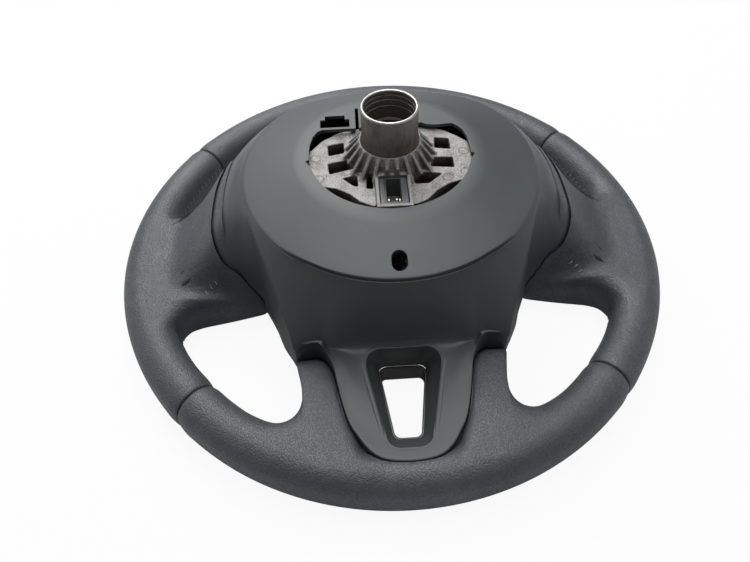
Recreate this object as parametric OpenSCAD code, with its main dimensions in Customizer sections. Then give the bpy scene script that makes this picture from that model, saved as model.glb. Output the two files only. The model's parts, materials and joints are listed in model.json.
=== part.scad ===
// Car steering wheel with leather rim, lying face down with the column side up.
// Origin: on the steering axis, in the plane of the rim's face. +Z runs towards the column,
// -Y towards the lower spoke.

/* [Rim] */
// Outer diameter of the rim
rim_d = 370; // [350:1:390]
// Width of the grip section across the rim
grip_w = 28.6; // [26:0.1:31]
// Height of the grip section along the steering axis
grip_h = 34.4; // [32:0.1:37]
// Thickness of the leather
leather_t = 1.3; // [1:0.1:1.6]
// Glue line between leather and foam
glue_t = 0.3; // [0.2:0.05:0.5]
// Width of the groove where two leather panels meet
seam_w = 0.8; // [0.4:0.1:1.2]
// Angle of the upper seams above the horizontal
seam_hi_a = 35.1; // [33:0.1:38]
// Angle of the lower seams below the horizontal
seam_lo_a = 43.9; // [42:0.1:46]
// Diameter of the steel ring in the rim
ring_d = 12; // [10:0.5:14]
// Wall of the steel ring
ring_wall = 1.5; // [1:0.1:2.5]

/* [Hub] */
// Outer diameter of the hub sleeve
sleeve_d = 34; // [32:0.1:36]
// Height of the sleeve's mouth above the cast plate
hub_rise = 37.7; // [34:0.1:42]
// Diameter of the socket in the sleeve's mouth
socket_d = 30.4; // [28.5:0.1:31]
// Depth of the socket
socket_depth = 20; // [16:0.5:24]
// Pitch diameter of the column spline
spline_d = 17.6; // [16:0.1:19]
// Number of spline teeth
spline_n = 30; // [24:2:40]
// Height of a spline tooth
spline_h = 0.7; // [0.4:0.1:1]

/* [Casting] */
// Top of the cast hub plate
plate_z = 102; // [99:0.5:103]
// Thickness of the cast hub plate
plate_t = 13; // [10:0.5:15]
// Height of the fluted boss above the plate
boss_h = 15; // [12:0.5:18]
// Radius of the boss flutes at the plate
flute_r = 29; // [26:0.5:31]
// Number of flutes round the boss
flute_n = 22; // [16:1:26]
// Thickness of a flute
flute_t = 2.2; // [1.6:0.1:2.8]
// Width of a side arm
arm_w = 30; // [24:1:34]
// Wall of the cast arms
arm_wall = 3.5; // [2.5:0.1:5]
// Width of each leg of the lower arm
leg_w = 8; // [6:0.5:9]
// Distance of each lower leg from the middle
leg_x = 29.5; // [28.5:0.5:30.5]

/* [Back cover] */
// Wall of the back cover
cover_t = 2.4; // [2:0.1:3]
// Diameter of the cover's disc
disc_d = 184; // [178:1:190]
// Rise of the land round the hub window above the cast plate
land_rise = 4; // [3.5:0.1:6]
// Drop from the land to the disc's edge
disc_drop = 11; // [9:0.5:13]
// Diameter of the hub window
window_d = 100; // [94:1:104]
// Straight upper edge of the hub window
bridge_y = 25; // [23:0.5:28]
// Half width of the cover at the spokes
parting_x = 115.5; // [113:0.5:117]
// Gap between the cover and the leather
parting_gap = 0.5; // [0.4:0.1:0.8]
// Diameter of the tool hole near the disc's lower edge
tool_hole_d = 9; // [7:0.5:10]
// Place of the apron below the axis
apron_y = 99; // [97:0.5:101]

/* [Lower spoke] */
// Half width of the window at its upper end
slot_top_w = 13.5; // [12:0.5:15]
// Half width of the window at its lower end
slot_low_w = 8; // [7:0.5:9]
// Upper end of the window below the axis
slot_top_y = 102; // [101:0.5:104]
// Land between the window's lower end and the end of the tongue
slot_end = 20; // [18:0.5:23]
// Half width of the recess round the window, at its upper end
recess_top_w = 22; // [20:0.5:23]

/* [Horn module] */
// Half width of the horn pad
pad_x = 72; // [68:1:76]
// Height of the horn pad's crown above the rim's face
pad_z = 8; // [6:0.5:12]
// Wall of the horn pad
pad_t = 3; // [2.5:0.1:4]
// Gap round the horn pad
pad_gap = 1.6; // [1:0.1:2.5]
// Travel of the horn pad
horn_travel = 2; // [1.5:0.1:2.5]
// Diameter of the gas generator
generator_d = 62; // [56:1:68]
// Distance of the horn springs from the axis
spring_r = 44; // [43:0.5:47]

/* [Switches] */
// Distance of the switch pods from the axis
pod_x = 94; // [93:0.5:95]
// Length of a switch pod
pod_l = 56; // [50:1:60]
// Width of a switch pod
pod_w = 26; // [24:0.5:28]
// Travel of a key
key_travel = 1.2; // [0.8:0.1:1.6]

/* [Hidden] */
$fn = 72;

rim_r = rim_d / 2;
grip_c = rim_r - grip_w / 2;
grip_in = rim_r - grip_w;
grip_flat = (grip_h - grip_w) / 2;
disc_r = disc_d / 2;
sleeve_z = plate_z + hub_rise;
window_r = window_d / 2;
land_z = plate_z + land_rise;
disc_z = land_z - disc_drop;
under_z = plate_z - plate_t;
seam_half_a = asin(seam_w / 2 / grip_in);

// Distances below the axis on the lower spoke lie between the tabs' upper edge and the grip's
// centre line. They are given for a grip of this radius, and follow it from there.
drawn_c = 170.7;
tab_y = 97;
function low_y(y) = tab_y + (y - tab_y) * (grip_c - tab_y) / (drawn_c - tab_y);
tongue_end = low_y(167);
slot_low_y = tongue_end - slot_end;

// Heights of the cover's wall lie between the rim and the disc's edge. They are given for a
// disc edge at this height, and follow it from there.
drawn_z = 95;
function wall_z(z) = z < grip_h ? z : grip_h + (z - grip_h) * (disc_z - grip_h) / (drawn_z - grip_h);

function mix(a, b, t) = a + (b - a) * t;

// A point on a circle in plan
function polar(r, a) = [r * cos(a), r * sin(a)];
function reversed(list) = [for (i = [len(list) - 1 : -1 : 0]) list[i]];

// The children on the right, s = 1, or mirrored to the left, s = -1
module side(s) {
    if (s < 0)
        mirror([1, 0, 0])
            children();
    else
        children();
}

// Catmull-Rom curve through a list of stations; u counts stations
function spline(a, b, c, d, t) =
    0.5 * (2 * b + (c - a) * t + (2 * a - 5 * b + 4 * c - d) * t * t
        + (3 * b - a - 3 * c + d) * t * t * t);
function station(list, u) =
    let (n = len(list) - 1, i = min(floor(u), n - 1))
    spline(list[max(i - 1, 0)], list[i], list[i + 1], list[min(i + 2, n)], u - i);
function stations(list, per) =
    [for (i = [0 : (len(list) - 1) * per]) station(list, i / per)];

// The stations with one more halfway wherever wanted[i] is true between i and i + 1
function refined(list, wanted) =
    [for (i = [0 : len(list) - 1])
        each (wanted[i] ? [list[i], station(list, i + 0.5)] : [list[i]])];

// Faces between neighbouring closed rings of m points each
function ring_faces(k, m, wrap) =
    [for (i = [0 : k - (wrap ? 1 : 2)]) for (j = [0 : m - 1])
        let (a = i * m + j, b = i * m + (j + 1) % m,
            c = ((i + 1) % k) * m + (j + 1) % m, d = ((i + 1) % k) * m + j)
        each [[a, b, c], [a, c, d]]];

// Solid through rings, with flat ends. Rings that run anticlockwise seen from above come top first.
module loft(rings) {
    m = len(rings[0]);
    k = len(rings);
    polyhedron(
        points = [for (r = rings) each r],
        faces = concat(
            [[for (j = [m - 1 : -1 : 0]) j]],
            ring_faces(k, m, false),
            [[for (j = [0 : m - 1]) (k - 1) * m + j]]));
}

// Solid through rings whose last ring joins the first, the outside in the order of a loft
module closed_loft(rings) {
    m = len(rings[0]);
    k = len(rings);
    polyhedron(points = [for (r = rings) each r], faces = ring_faces(k, m, true));
}

// Grip section of the rim in the plane of radius and height, drawn in by inset
module grip_section(inset) {
    r = grip_w / 2 - inset;
    for (s = [-1, 1])
        translate([grip_c, grip_h / 2 + s * grip_flat])
            circle(r);
    translate([grip_c - r, grip_h / 2 - grip_flat])
        square([2 * r, 2 * grip_flat]);
}

// Section of the rim with a spoke root: a round outer half, and an inner half that reaches to
// the station's inner point. A station is [rim angle, inner x, inner y, top z, bottom z,
// squareness, bend x, bend y].
outer_n = 7;
inner_n = 9;
function root_section(s) =
    let (e = polar(1, s[0]),
        r = grip_w / 2,
        c = grip_c * e,
        i = [s[1], s[2]],
        k = (c + i) / 2 + [s[6], s[7]])
    concat(
        [for (j = [0 : outer_n - 1])
            let (p = -90 + 180 * j / (outer_n - 1), d = grip_c + r * cos(p))
            [d * e.x, d * e.y, grip_h / 2 + sign(round(100 * sin(p))) * grip_flat + r * sin(p)]],
        [for (j = [1 : inner_n])
            let (p = 180 * j / (inner_n + 1),
                f = sin(p),
                h = pow(max(0, 1 - pow(f, s[5])), 1 / s[5]),
                rise = pow(max(0, f - 0.28) / 0.72, 1.6),
                top = mix(grip_h, s[3], rise),
                low = mix(0, s[4], rise),
                side = sign(round(100 * cos(p))),
                b = (1 - f) * (1 - f) * c + 2 * f * (1 - f) * k + f * f * i)
            [b.x, b.y, (top + low) / 2 + side * (h * ((top - low) / 2 - grip_flat) + grip_flat)]]);

// Rings in increasing rim angle, with every point moved inwards, square to the surface
function unit(v) = v / max(norm(v), 0.001);
function drawn_in(rings, inset) =
    let (n = len(rings) - 1, m = len(rings[0]))
    [for (i = [0 : n]) [for (j = [0 : m - 1])
        let (p = rings[i][j],
            e = unit(rings[i][(j + 1) % m] - p) + unit(p - rings[i][(j + m - 1) % m]),
            g = unit(rings[min(i + 1, n)][j] - p) + unit(p - rings[max(i - 1, 0)][j]))
        p + inset * unit(cross(e, g))]];

function mirror_station(s) = [180 - s[0], -s[1], s[2], s[3], s[4], s[5], -s[6], s[7]];
function plain(a) = let (p = polar(grip_in, a)) [a, p.x, p.y, grip_h, 0, 2, 0, 0];

// Right spoke root, from the upper seam down to the lower one
side_root = [
    plain(seam_hi_a - seam_half_a),
    plain(27),
    plain(19),
    plain(13),
    [10, grip_in - 6.5, 25.5, grip_h - 1, 0, 2, 0, 0],
    [8, grip_in - 14, 25, 36, 3, 2.2, 0, 0],
    [6.2, parting_x + 11.5, 39, 48, 8, 3, 0, -17],
    [4.5, parting_x - 7, 56, 66.5, 12, 4, 0, -20],
    [2, parting_x - 11, 44, 83, 13, 6, 0, -8],
    [-2, parting_x - 11, 16, 90, 13, 8, 0, 0],
    [-6, parting_x - 11, -8, 91, 13, 8, 0, 0],
    [-9.5, parting_x - 12, -26, 88, 13, 8, 0, 0],
    [-12, parting_x - 15, -36, 74, 13, 6, 0, 0],
    [-14.2, parting_x - 22, -43, 46, 13, 5, 0, 0],
    [-16.2, parting_x - 33, -49.5, 23, 12, 4, 0, 0],
    [-18.2, parting_x - 6, -51.5, 24, 9, 3, 0, 0],
    [-20.8, parting_x + 11, -53, 30, 5, 2.4, 0, 0],
    [-23.8, parting_x + 20.5, -58, 34, 1, 2, 0, 0],
    [-26.8, grip_in - 16, -66.5, grip_h, 0, 2, 0, 0],
    plain(-30),
    plain(-36),
    plain(-seam_lo_a + seam_half_a)
];

// Right half of the lower spoke root, from six o'clock up to the lower seam
tab_root = [
    plain(-90),
    plain(-84.5),
    plain(-80.8),
    [-78.8, 32, -low_y(146), 33.5, 2, 3, 0, 0],
    [-77, 38, -low_y(128), 33.5, 5, 4, 0, 0],
    [-75.4, 42.5, -low_y(107.5), 34, 7, 4, 0, 0],
    [-74, 49, -low_y(97.6), 35, 8, 4, 0, 0],
    [-72.6, 57, -96.8, 35, 8, 4, 0, 0],
    [-71.2, 64, -low_y(97.6), 34.5, 8, 3.5, -4, 0],
    [-69.8, 61.8, -low_y(105), 34, 7, 3.5, -3.5, 0],
    [-68.2, 59.2, -low_y(116), 34, 5, 3, -2, 0],
    [-66, 59.8, -low_y(126.5), 34, 3, 2.6, 0, 0],
    [-63, 65.5, -low_y(133.5), grip_h, 1, 2.2, 0, 0],
    [-59.5, 75, -low_y(135), grip_h, 0, 2, 0, 0],
    plain(-55.5),
    plain(-50),
    plain(-seam_lo_a - seam_half_a)
];
bottom_root = concat(
    [for (i = [len(tab_root) - 1 : -1 : 1]) let (s = mirror_station(tab_root[i]))
        concat([s[0] - 360], [for (j = [1 : 7]) s[j]])],
    tab_root);

// Stations of a root, with one more wherever their inner points lie far apart
max_step = 13;
function is_root(s) = abs(norm([s[1], s[2]]) - grip_in) > 0.01;
function root_stations(list) =
    let (n = len(list) - 1)
    refined(list, [for (i = [0 : n]) i < n && (is_root(list[i]) || is_root(list[i + 1]))
        && norm([list[i + 1][1] - list[i][1], list[i + 1][2] - list[i][2]]) > max_step]);
function rim_order(rings, list) = list[0][0] > list[len(list) - 1][0] ? reversed(rings) : rings;

// Solid through a root's sections, drawn in by inset
module root_panel(list, inset) {
    rings = rim_order([for (s = root_stations(list)) root_section(s)], list);
    loft(inset == 0 ? rings : drawn_in(rings, inset));
}

// Parting line between cover and leather in plan, right side
parting_line = [
    [parting_x - 4, 60], [parting_x - 5, 52], [parting_x - 2.5, 36], [parting_x - 0.5, 18],
    [parting_x, 2], [parting_x - 0.3, -12], [parting_x - 1.5, -25], [parting_x - 4, -34],
    [parting_x - 8.5, -38.5], [parting_x - 17, -41.5], [parting_x - 27, -47], [parting_x - 31, -50]
];
parting_curve = stations(parting_line, 2);

// Side of the parting line that belongs to the spokes, s = 1 right or -1 left, moved out by gap
module spoke_side(s, gap) {
    side(s)
        translate([gap, -gap, 0])
            linear_extrude(grip_h * 3)
                polygon(concat(parting_curve, [[parting_x - 20, -75], [rim_r, -75], [rim_r, 60]]));
}

// Hub side of the parting line
module hub_side(s, gap) {
    side(s)
        translate([gap, -gap, 0])
            linear_extrude(grip_h * 3)
                polygon(concat(parting_curve, [
                    [parting_x - 40, -60], [0, -60], [0, 70], [parting_x - 10, 70]
                ]));
}

// Steel tube cast into the hub: socket for the column, column spline, nut seat at the front
module hub_sleeve() {
    r = sleeve_d / 2;
    lip = 0.4;
    base_z = plate_z - plate_t - 8;
    floor_z = sleeve_z - socket_depth;
    spline_z = floor_z - 9;
    color("dimgray")
        difference() {
            rotate_extrude()
                polygon([
                    [4, base_z], [r - 1, base_z], [r, base_z + 1], [r + 1, base_z + 1.5],
                    [r + 1, plate_z + boss_h - 1], [r, plate_z + boss_h + 3], [r, sleeve_z - lip],
                    [r - lip, sleeve_z], [4, sleeve_z]
                ]);
            translate([0, 0, floor_z])
                cylinder(h = socket_depth + 1, d = socket_d);
            translate([0, 0, sleeve_z - lip])
                cylinder(h = lip + 0.01, d1 = socket_d, d2 = socket_d + 2 * lip);
            translate([0, 0, floor_z - 4])
                cylinder(h = 4.01, d = socket_d - 3.4);
            translate([0, 0, spline_z])
                cylinder(h = 5.01, d1 = spline_d + 2.4, d2 = socket_d - 8);
            translate([0, 0, base_z - 1])
                cylinder(h = spline_z - base_z + 2, d = spline_d - spline_h);
            for (i = [0 : spline_n - 1])
                rotate([0, 0, 360 / spline_n * i])
                    translate([spline_d / 2 - spline_h / 2, 0, base_z - 1])
                        rotate([0, 0, 45])
                            cube([spline_h * 1.5, spline_h * 1.5, 2 * (spline_z - base_z + 2)], center = true);
            translate([0, 0, base_z - 1])
                cylinder(h = 5, d = spline_d + 9);
        }
}

// Plan of the cast hub plate, with ears to the arms under the cover
ear_x = window_r + 6;
plate_outline = [
    [0, 29], [-21, 28.5], [-32, 25], [-42, 18], [-49, 9], [-ear_x, 7], [-ear_x, -20], [-50, -24],
    [-41, -25], [-33.5, -27], [-26, -32], [-20, -39], [-13, -43], [13, -43], [19.5, -40],
    [26, -32.5], [34, -27], [43, -24.5], [52, -22], [ear_x, -20], [ear_x, 7], [52, 9], [45, 16],
    [38, 22], [30, 27], [21, 28.5]
];

// Lightening holes through the plate, as seen from the column side
plate_holes = [
    [[-38.5, 13], [-28.4, 15.4], [-28.3, 5.2], [-38, 3]],
    [[-38.6, -4.4], [-27, -1.6], [-22.4, -9.8], [-37.6, -14]],
    [[-30.2, -18], [-21, -16.4], [-20.6, -26.4], [-23.4, -25.2]],
    [[-15.2, -17], [-11.4, -17], [-12, -28.8], [-15.8, -28]],
    [[29.4, 16.4], [38.6, 14.6], [38.6, 4.2], [28.8, 6]],
    [[26.8, -2.8], [38.8, -3.4], [38.8, -13.2], [24.2, -11.2]],
    [[13, -19], [17.2, -15.8], [31, -18], [21.8, -26], [13, -26]]
];

socket_w = 16.6;
socket_l = 23.6;
socket_y = -34.6;
frame_wall = 2.2;

// Tapered flutes that carry the hub sleeve's side loads into the plate
module boss_flutes() {
    top_r = sleeve_d / 2 + 1.6;
    translate([0, 0, plate_z - 1])
        cylinder(h = boss_h, r1 = flute_r - 5, r2 = top_r);
    for (i = [0 : flute_n - 1])
        rotate([0, 0, 360 / flute_n * i])
            rotate([90, 0, 0])
                translate([0, 0, -flute_t / 2])
                    linear_extrude(flute_t)
                        polygon([
                            [top_r - 3, plate_z - 1], [flute_r, plate_z - 1], [flute_r, plate_z + 0.8],
                            [top_r + 0.8, plate_z + boss_h - 2], [top_r - 3, plate_z + boss_h - 2]
                        ]);
}

arm_y = -9;

// Side view of an arm from the hub plate down to the rim ring
arm_side = [
    [ear_x - 4, plate_z - 0.6], [84, under_z - 7], [98, 60], [110, 44], [128, 31], [grip_c - 4, 25],
    [grip_c - 4, 9], [126, 19], [106, 30], [92, 46], [80, under_z - 20], [ear_x - 4, under_z + 3.3]
];

// Cast arm to the rim, open towards the driver like a channel
module side_arm(s) {
    side(s)
        translate([0, arm_y + arm_w / 2, 0])
            rotate([90, 0, 0])
                difference() {
                    linear_extrude(arm_w)
                        polygon(arm_side);
                    translate([0, 0, arm_wall])
                        linear_extrude(arm_w - 2 * arm_wall)
                            translate([-3, -4.5])
                                polygon([for (p = arm_side) [min(p[0], grip_c - 14), p[1] - (p[0] > 90 ? 0 : 1)]]);
                }
}

// Side view of the lower arm's legs, in distance below the axis and height
leg_side = [
    [38, plate_z - 2], [78, under_z], [88, 70], [91, 48], [104, 32], [130, 25], [grip_c - 4, 24],
    [grip_c - 4, 11], [128, 13], [98, 27], [83, 47], [78, 66], [70, under_z - 12], [38, under_z]
];

module lower_leg(s) {
    translate([s * leg_x - leg_w / 2, 0, 0])
        rotate([90, 0, 90])
            linear_extrude(leg_w)
                polygon([for (p = leg_side) [-p[0], p[1]]]);
}

// Cast claw that grips the rim ring at angle a over width w
claw_t = 3;
module ring_claw(a, w) {
    rotate([0, 0, a])
        translate([grip_c, 0, grip_h / 2])
            rotate([90, 0, 0])
                cylinder(h = w, r = ring_d / 2 + claw_t, center = true);
}

leg_foot_a = asin(leg_x / grip_c);
arm_foot_a = asin(arm_y / grip_c);
screw_r = 2;
arm_screw = [68, -8];
arm_seat_z = under_z - 7;
arm_boss_z = plate_z - 6;
beam_screw = [19, -62];
beam_t = 5;
screw_at = [for (p = [arm_screw, beam_screw]) for (s = [-1, 1]) [s * p.x, p.y]];
function screw_seat(p) = p.y == arm_screw.y ? arm_seat_z : under_z;
function screw_land(p) = p.y == arm_screw.y ? arm_boss_z : under_z + beam_t;

pin_r = 3;
pin_at = [[-spring_r - 2, -2], [spring_r + 2, -2], [0, -spring_r - 13]];

// Die-cast spider: hub plate with lightening holes, fluted boss, connector frame, arms and claws
module armature() {
    color("silver")
        difference() {
            union() {
                translate([0, 0, under_z])
                    linear_extrude(plate_t)
                        polygon(plate_outline);
                boss_flutes();
                translate([-socket_w / 2 - frame_wall, socket_y - socket_l / 2 - frame_wall, under_z - 3])
                    cube([socket_w + 2 * frame_wall, socket_l + 2 * frame_wall, plate_t + 7.4]);
                for (s = [-1, 1]) {
                    side_arm(s);
                    lower_leg(s);
                    ring_claw(s > 0 ? arm_foot_a : 180 - arm_foot_a, arm_w - 6);
                    ring_claw(-90 + s * leg_foot_a, leg_w + 8);
                    translate([s * arm_screw.x, arm_screw.y, arm_seat_z])
                        cylinder(h = arm_boss_z - arm_seat_z, r = screw_r + 4);
                }
                translate([-leg_x, -72, under_z])
                    cube([2 * leg_x, 20, beam_t]);
                for (s = [-1, 1])
                    translate([s * leg_x - leg_w / 2, -64, under_z])
                        cube([leg_w, 40, beam_t]);
            }
            for (h = plate_holes)
                translate([0, 0, under_z - 1])
                    linear_extrude(plate_t + 3)
                        polygon(h);
            translate([0, 0, under_z - 20])
                cylinder(h = 60, r = sleeve_d / 2 + 1.03);
            translate([-socket_w / 2 - 0.1, socket_y - socket_l / 2 - 0.1, under_z - 10])
                cube([socket_w + 0.2, socket_l + 0.2, 60]);
            for (p = screw_at)
                translate([p[0], p[1], under_z - 20])
                    cylinder(h = 60, r = screw_r + 0.3);
            for (p = pin_at)
                translate([p.x, p.y, under_z - 1])
                    cylinder(h = pin_top(p) - under_z + 1, r = pin_r + 0.05);
            rim_torus(ring_d / 2 + 0.05);
        }
}

function pin_top(p) = p.y < -40 ? under_z + beam_t - 1 : plate_z - 2;

module rim_torus(r) {
    translate([0, 0, grip_h / 2])
        rotate_extrude()
            translate([grip_c, 0])
                circle(r);
}

// Steel tube bent to a ring and welded shut
module rim_ring() {
    color("slategray")
        difference() {
            rim_torus(ring_d / 2);
            rim_torus(ring_d / 2 - ring_wall);
        }
}

// Panel of leather: the skin less the room for foam and glue
module leather_panel(list) {
    difference() {
        root_panel(list, 0);
        root_panel(wider(list), leather_t);
    }
}

// The same stations with the two ends carried past the seams
function wider(list) =
    let (n = len(list) - 1, d = list[0][0] > list[n][0] ? 1 : -1)
    [for (i = [0 : n]) i == 0 ? plain(list[0][0] + d) : i == n ? plain(list[n][0] - d) : list[i]];

// Foam moulded round the ring and the cast arms
module rim_foam() {
    inset = leather_t + glue_t;
    step = 0.05;
    color("darkkhaki")
        difference() {
            union() {
                rotate([0, 0, seam_hi_a])
                    rotate_extrude(angle = 180 - 2 * seam_hi_a)
                        grip_section(inset - step);
                for (s = [-1, 1])
                    side(s)
                        difference() {
                            root_panel(wider(side_root), inset);
                            hub_side(1, parting_gap + 1);
                        }
                difference() {
                    root_panel(wider(bottom_root), inset + step);
                    tongue_prism(parting_gap, tongue_low_z - parting_gap);
                    trim_prism(parting_gap);
                }
            }
            rim_torus(ring_d / 2 + 0.05);
            for (s = [-1, 1]) {
                arm_room(s);
                leg_room(s);
                ring_room(s > 0 ? arm_foot_a : 180 - arm_foot_a, arm_w - 6);
                ring_room(-90 + s * leg_foot_a, leg_w + 8);
            }
        }
}

room = 0.1;

// Room in the rim for an arm and a leg
module arm_room(s) {
    side(s)
        translate([0, arm_y + arm_w / 2 + room, 0])
            rotate([90, 0, 0])
                linear_extrude(arm_w + 2 * room)
                    polygon([for (i = [0 : len(arm_side) - 1])
                        arm_side[i] + [i == 5 || i == 6 ? room : 0, i < 6 ? room : -room]]);
}
module leg_room(s) {
    translate([s * leg_x - leg_w / 2 - room, 0, 0])
        rotate([90, 0, 90])
            linear_extrude(leg_w + 2 * room)
                polygon([for (i = [0 : len(leg_side) - 1])
                    [-leg_side[i][0] - (i == 6 || i == 7 ? room : 0), leg_side[i][1] + (i < 7 ? room : -room)]]);
}

module ring_room(a, w) {
    rotate([0, 0, a])
        translate([grip_c, 0, grip_h / 2])
            rotate([90, 0, 0])
                cylinder(h = w + 2 * room, r = ring_d / 2 + claw_t + room, center = true);
}

// Leather over the upper rim, between the upper seams
module leather_top() {
    color("#2b2e33")
        rotate([0, 0, seam_hi_a + seam_half_a])
            rotate_extrude(angle = 180 - 2 * (seam_hi_a + seam_half_a))
                difference() {
                    grip_section(0);
                    grip_section(leather_t);
                }
}

module leather_right() {
    color("#2b2e33")
        difference() {
            leather_panel(side_root);
            hub_side(1, parting_gap);
        }
}

module leather_left() {
    mirror([1, 0, 0])
        leather_right();
}

module leather_bottom() {
    color("#2b2e33")
        difference() {
            leather_panel(bottom_root);
            tongue_prism(parting_gap, tongue_low_z - parting_gap);
            trim_prism(parting_gap);
            for (s = [-1, 1])
                leg_room(s);
        }
}

// Outline of the cover's tongue on the lower spoke, right half from the end upwards
tongue_side = [
    [0, tongue_end], [9, low_y(166.3)], [17.5, low_y(163.7)], [24, low_y(157.7)], [28.5, low_y(150.7)],
    [32.5, low_y(144)], [36, low_y(133)], [38.5, low_y(122)], [40.5, low_y(112.5)], [43, low_y(105)],
    [46, low_y(100)], [50, tab_y], [64.5, tab_y]
];
tongue_low_z = 26;

module tongue_prism(gap, z) {
    half = stations(tongue_side, 2);
    wide = [for (p = half) p + gap * [p[0] > 1 ? 1 : 0, 1]];
    translate([0, 0, z])
        linear_extrude(grip_h)
            polygon(concat(
                [for (p = wide) [p[0], -p[1]]],
                [[76, -tab_y], [76, -80], [-76, -80], [-76, -tab_y]],
                [for (i = [len(wide) - 1 : -1 : 0]) [-wide[i][0], -wide[i][1]]]));
}

// Loft sections of the back cover, right half from six o'clock to twelve. Each is an angle and
// then radius and height of: disc edge, upper wall, lower wall or fold, three points on the way
// out, lip and bottom of the edge.
function apron_r(a) = apron_y / -sin(a);
cover_sections = [
    [-90, disc_r, disc_z, disc_r + 2.8, 78, apron_y, 49, apron_y + 6, 42,
        low_y(130), 34.5, low_y(150), 32.5, tongue_end, 34, tongue_end + 0.1, 26],
    [-84.5, disc_r, disc_z, disc_r + 3, 78, apron_r(-84.5), 49, low_y(106), 42,
        low_y(129), 34.5, low_y(149), 32.5, low_y(165.5), 34, low_y(165.6), 26],
    [-81, disc_r, disc_z, disc_r + 3.2, 78, apron_r(-81), 49, low_y(107), 42,
        low_y(128), 34.5, low_y(145), 32.8, low_y(158.5), 33.8, low_y(158.6), 26],
    [-78, disc_r, disc_z, disc_r + 3.5, 78, apron_r(-78), 48, low_y(108), 42,
        low_y(126), 35, low_y(140), 33.2, low_y(150.3), 33.4, low_y(150.4), 26],
    [-74.7, disc_r, disc_z, disc_r + 4, 77, apron_r(-74.7), 47.5, low_y(109), 42,
        low_y(119), 37, low_y(130), 34.5, low_y(137.6), 34, low_y(137.7), 26],
    [-71, disc_r, disc_z, disc_r + 4.5, 76, apron_r(-71), 47, low_y(108.5), 43,
        low_y(113), 40, low_y(118.5), 38, low_y(122), 37, low_y(122.1), 26],
    [-67.8, disc_r, disc_z, disc_r + 5, 75, apron_r(-67.8), 46.5,
        108.9, 43.5, 110.5, 42, 112, 40.5, 113.5, 39.5, 113.6, 27],
    [-63.2, disc_r, disc_z, disc_r + 6.2, 72, 107, 47,
        107.6, 44, 108, 42, 108.3, 40, 108.6, 38, 108.7, 28],
    [-59, disc_r, disc_z, disc_r + 8, 70, 111.3, 45,
        112, 42, 112.4, 39.5, 112.7, 37.5, 113, 36, 113.1, 27],
    [-56.6, disc_r, disc_z, disc_r + 9, 70, 115, 42,
        115.6, 37, 115.9, 34, 116.1, 31, 116.3, 28.5, 116.3, 25],
    [-53.5, disc_r, disc_z, disc_r + 8, 74, 111, 52,
        112, 44, 112.6, 38, 113, 33, 113.3, 29, 113.5, 24.5],
    [-48, disc_r, disc_z, disc_r + 6, 81, 105.3, 65,
        106.7, 55, 107.8, 45, 108.6, 37, 109.2, 31, 109.5, 26],
    [-42, disc_r, disc_z, disc_r + 4.5, 86.5, 101.2, 75,
        102, 62, 102.9, 50, 103.6, 39, 104.1, 31, 104.4, 24],
    [-37, disc_r, disc_z, disc_r + 3.5, 89, 98.6, 81,
        99.2, 66, 100, 52, 100.8, 39, 101.6, 29, 102, 21.5],
    [-32, disc_r, disc_z, disc_r + 2.7, 91, 96.8, 85,
        97.3, 69, 98, 54, 99, 39, 100, 27, 100.5, 18.5],
    [-28, disc_r, disc_z, disc_r + 2.2, 92, 95.6, 87.5,
        97, 72, 98.8, 56, 101, 40, 103, 26, 104, 17],
    [-24, disc_r, disc_z, disc_r + 1.8, 92.7, 95, 89,
        97.4, 75.5, 101, 60, 104.8, 42, 107.6, 26, 108.6, 17],
    [-20.5, disc_r, disc_z, disc_r + 1.5, 93.2, 95, 90,
        98.5, 79.5, 103.5, 68, 109.5, 53, 114.5, 36, 117, 25],
    [-17, disc_r, disc_z, disc_r + 1.5, 93.2, 95.3, 90.5,
        100, 83, 106.5, 73.5, 114, 63.5, 120, 53.5, 122, 50],
    [-11, disc_r, disc_z, disc_r + 1.5, 93.2, 95.6, 91,
        101, 85.5, 108, 77.5, 114.5, 69.5, 121, 61, 123, 60],
    [0, disc_r, disc_z, disc_r + 1.6, 93.1, 96, 90.7,
        101.5, 85.8, 108, 77.5, 114.5, 69.3, 121, 60, 123, 58],
    [14, disc_r, disc_z, disc_r + 1.7, 93, 96.2, 90.5,
        101.6, 85.5, 108.5, 76.5, 115.5, 68, 122, 58.5, 124, 57],
    [26, disc_r, disc_z, disc_r + 1.6, 93, 96.2, 90.3,
        102, 84.5, 109.5, 76, 116.5, 66, 121.2, 56, 122.6, 50],
    [38, disc_r - 1, disc_z, disc_r + 0.6, 93, 95.5, 90,
        102, 83.5, 110, 74, 116.5, 63.5, 119.5, 54, 120, 46],
    [52, disc_r - 6, disc_z + 1, disc_r - 3.5, 93.2, 93, 89,
        101, 81.5, 109.5, 71.5, 115.5, 61, 118, 53, 118.5, 46],
    [70, disc_r - 15, disc_z + 3, disc_r - 11, 95, 87, 89,
        97.5, 80.5, 107.5, 70, 113.5, 60, 116, 52, 116.3, 46],
    [90, disc_r - 19, disc_z + 4, disc_r - 15, 95.5, 84.5, 89,
        96, 80, 106.5, 69.5, 112.5, 60, 115, 52, 115.3, 46]
];

// Points of one cover section in radius and height, from the hub window outwards
function cover_profile(s) =
    concat(
        [[sleeve_d / 2 + 5, land_z], [window_r + 6, land_z], [s[1] - 1.6, s[2] + 0.45]],
        [[s[1] + 0.6, s[2] - 0.9]],
        [for (i = [3 : 2 : 15]) [s[i], wall_z(s[i + 1])]]);

// A profile moved inwards by the wall t
function inner_profile(p, t) =
    let (n = len(p) - 1)
    [for (i = [0 : n])
        i == 0 ? p[0] - [0, t]
        : i == n ? [p[n][0] - t, p[n][1]]
        : let (d = p[i + 1] - p[i - 1], u = d / norm(d)) p[i] + t * [u[1], -u[0]]];

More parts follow.
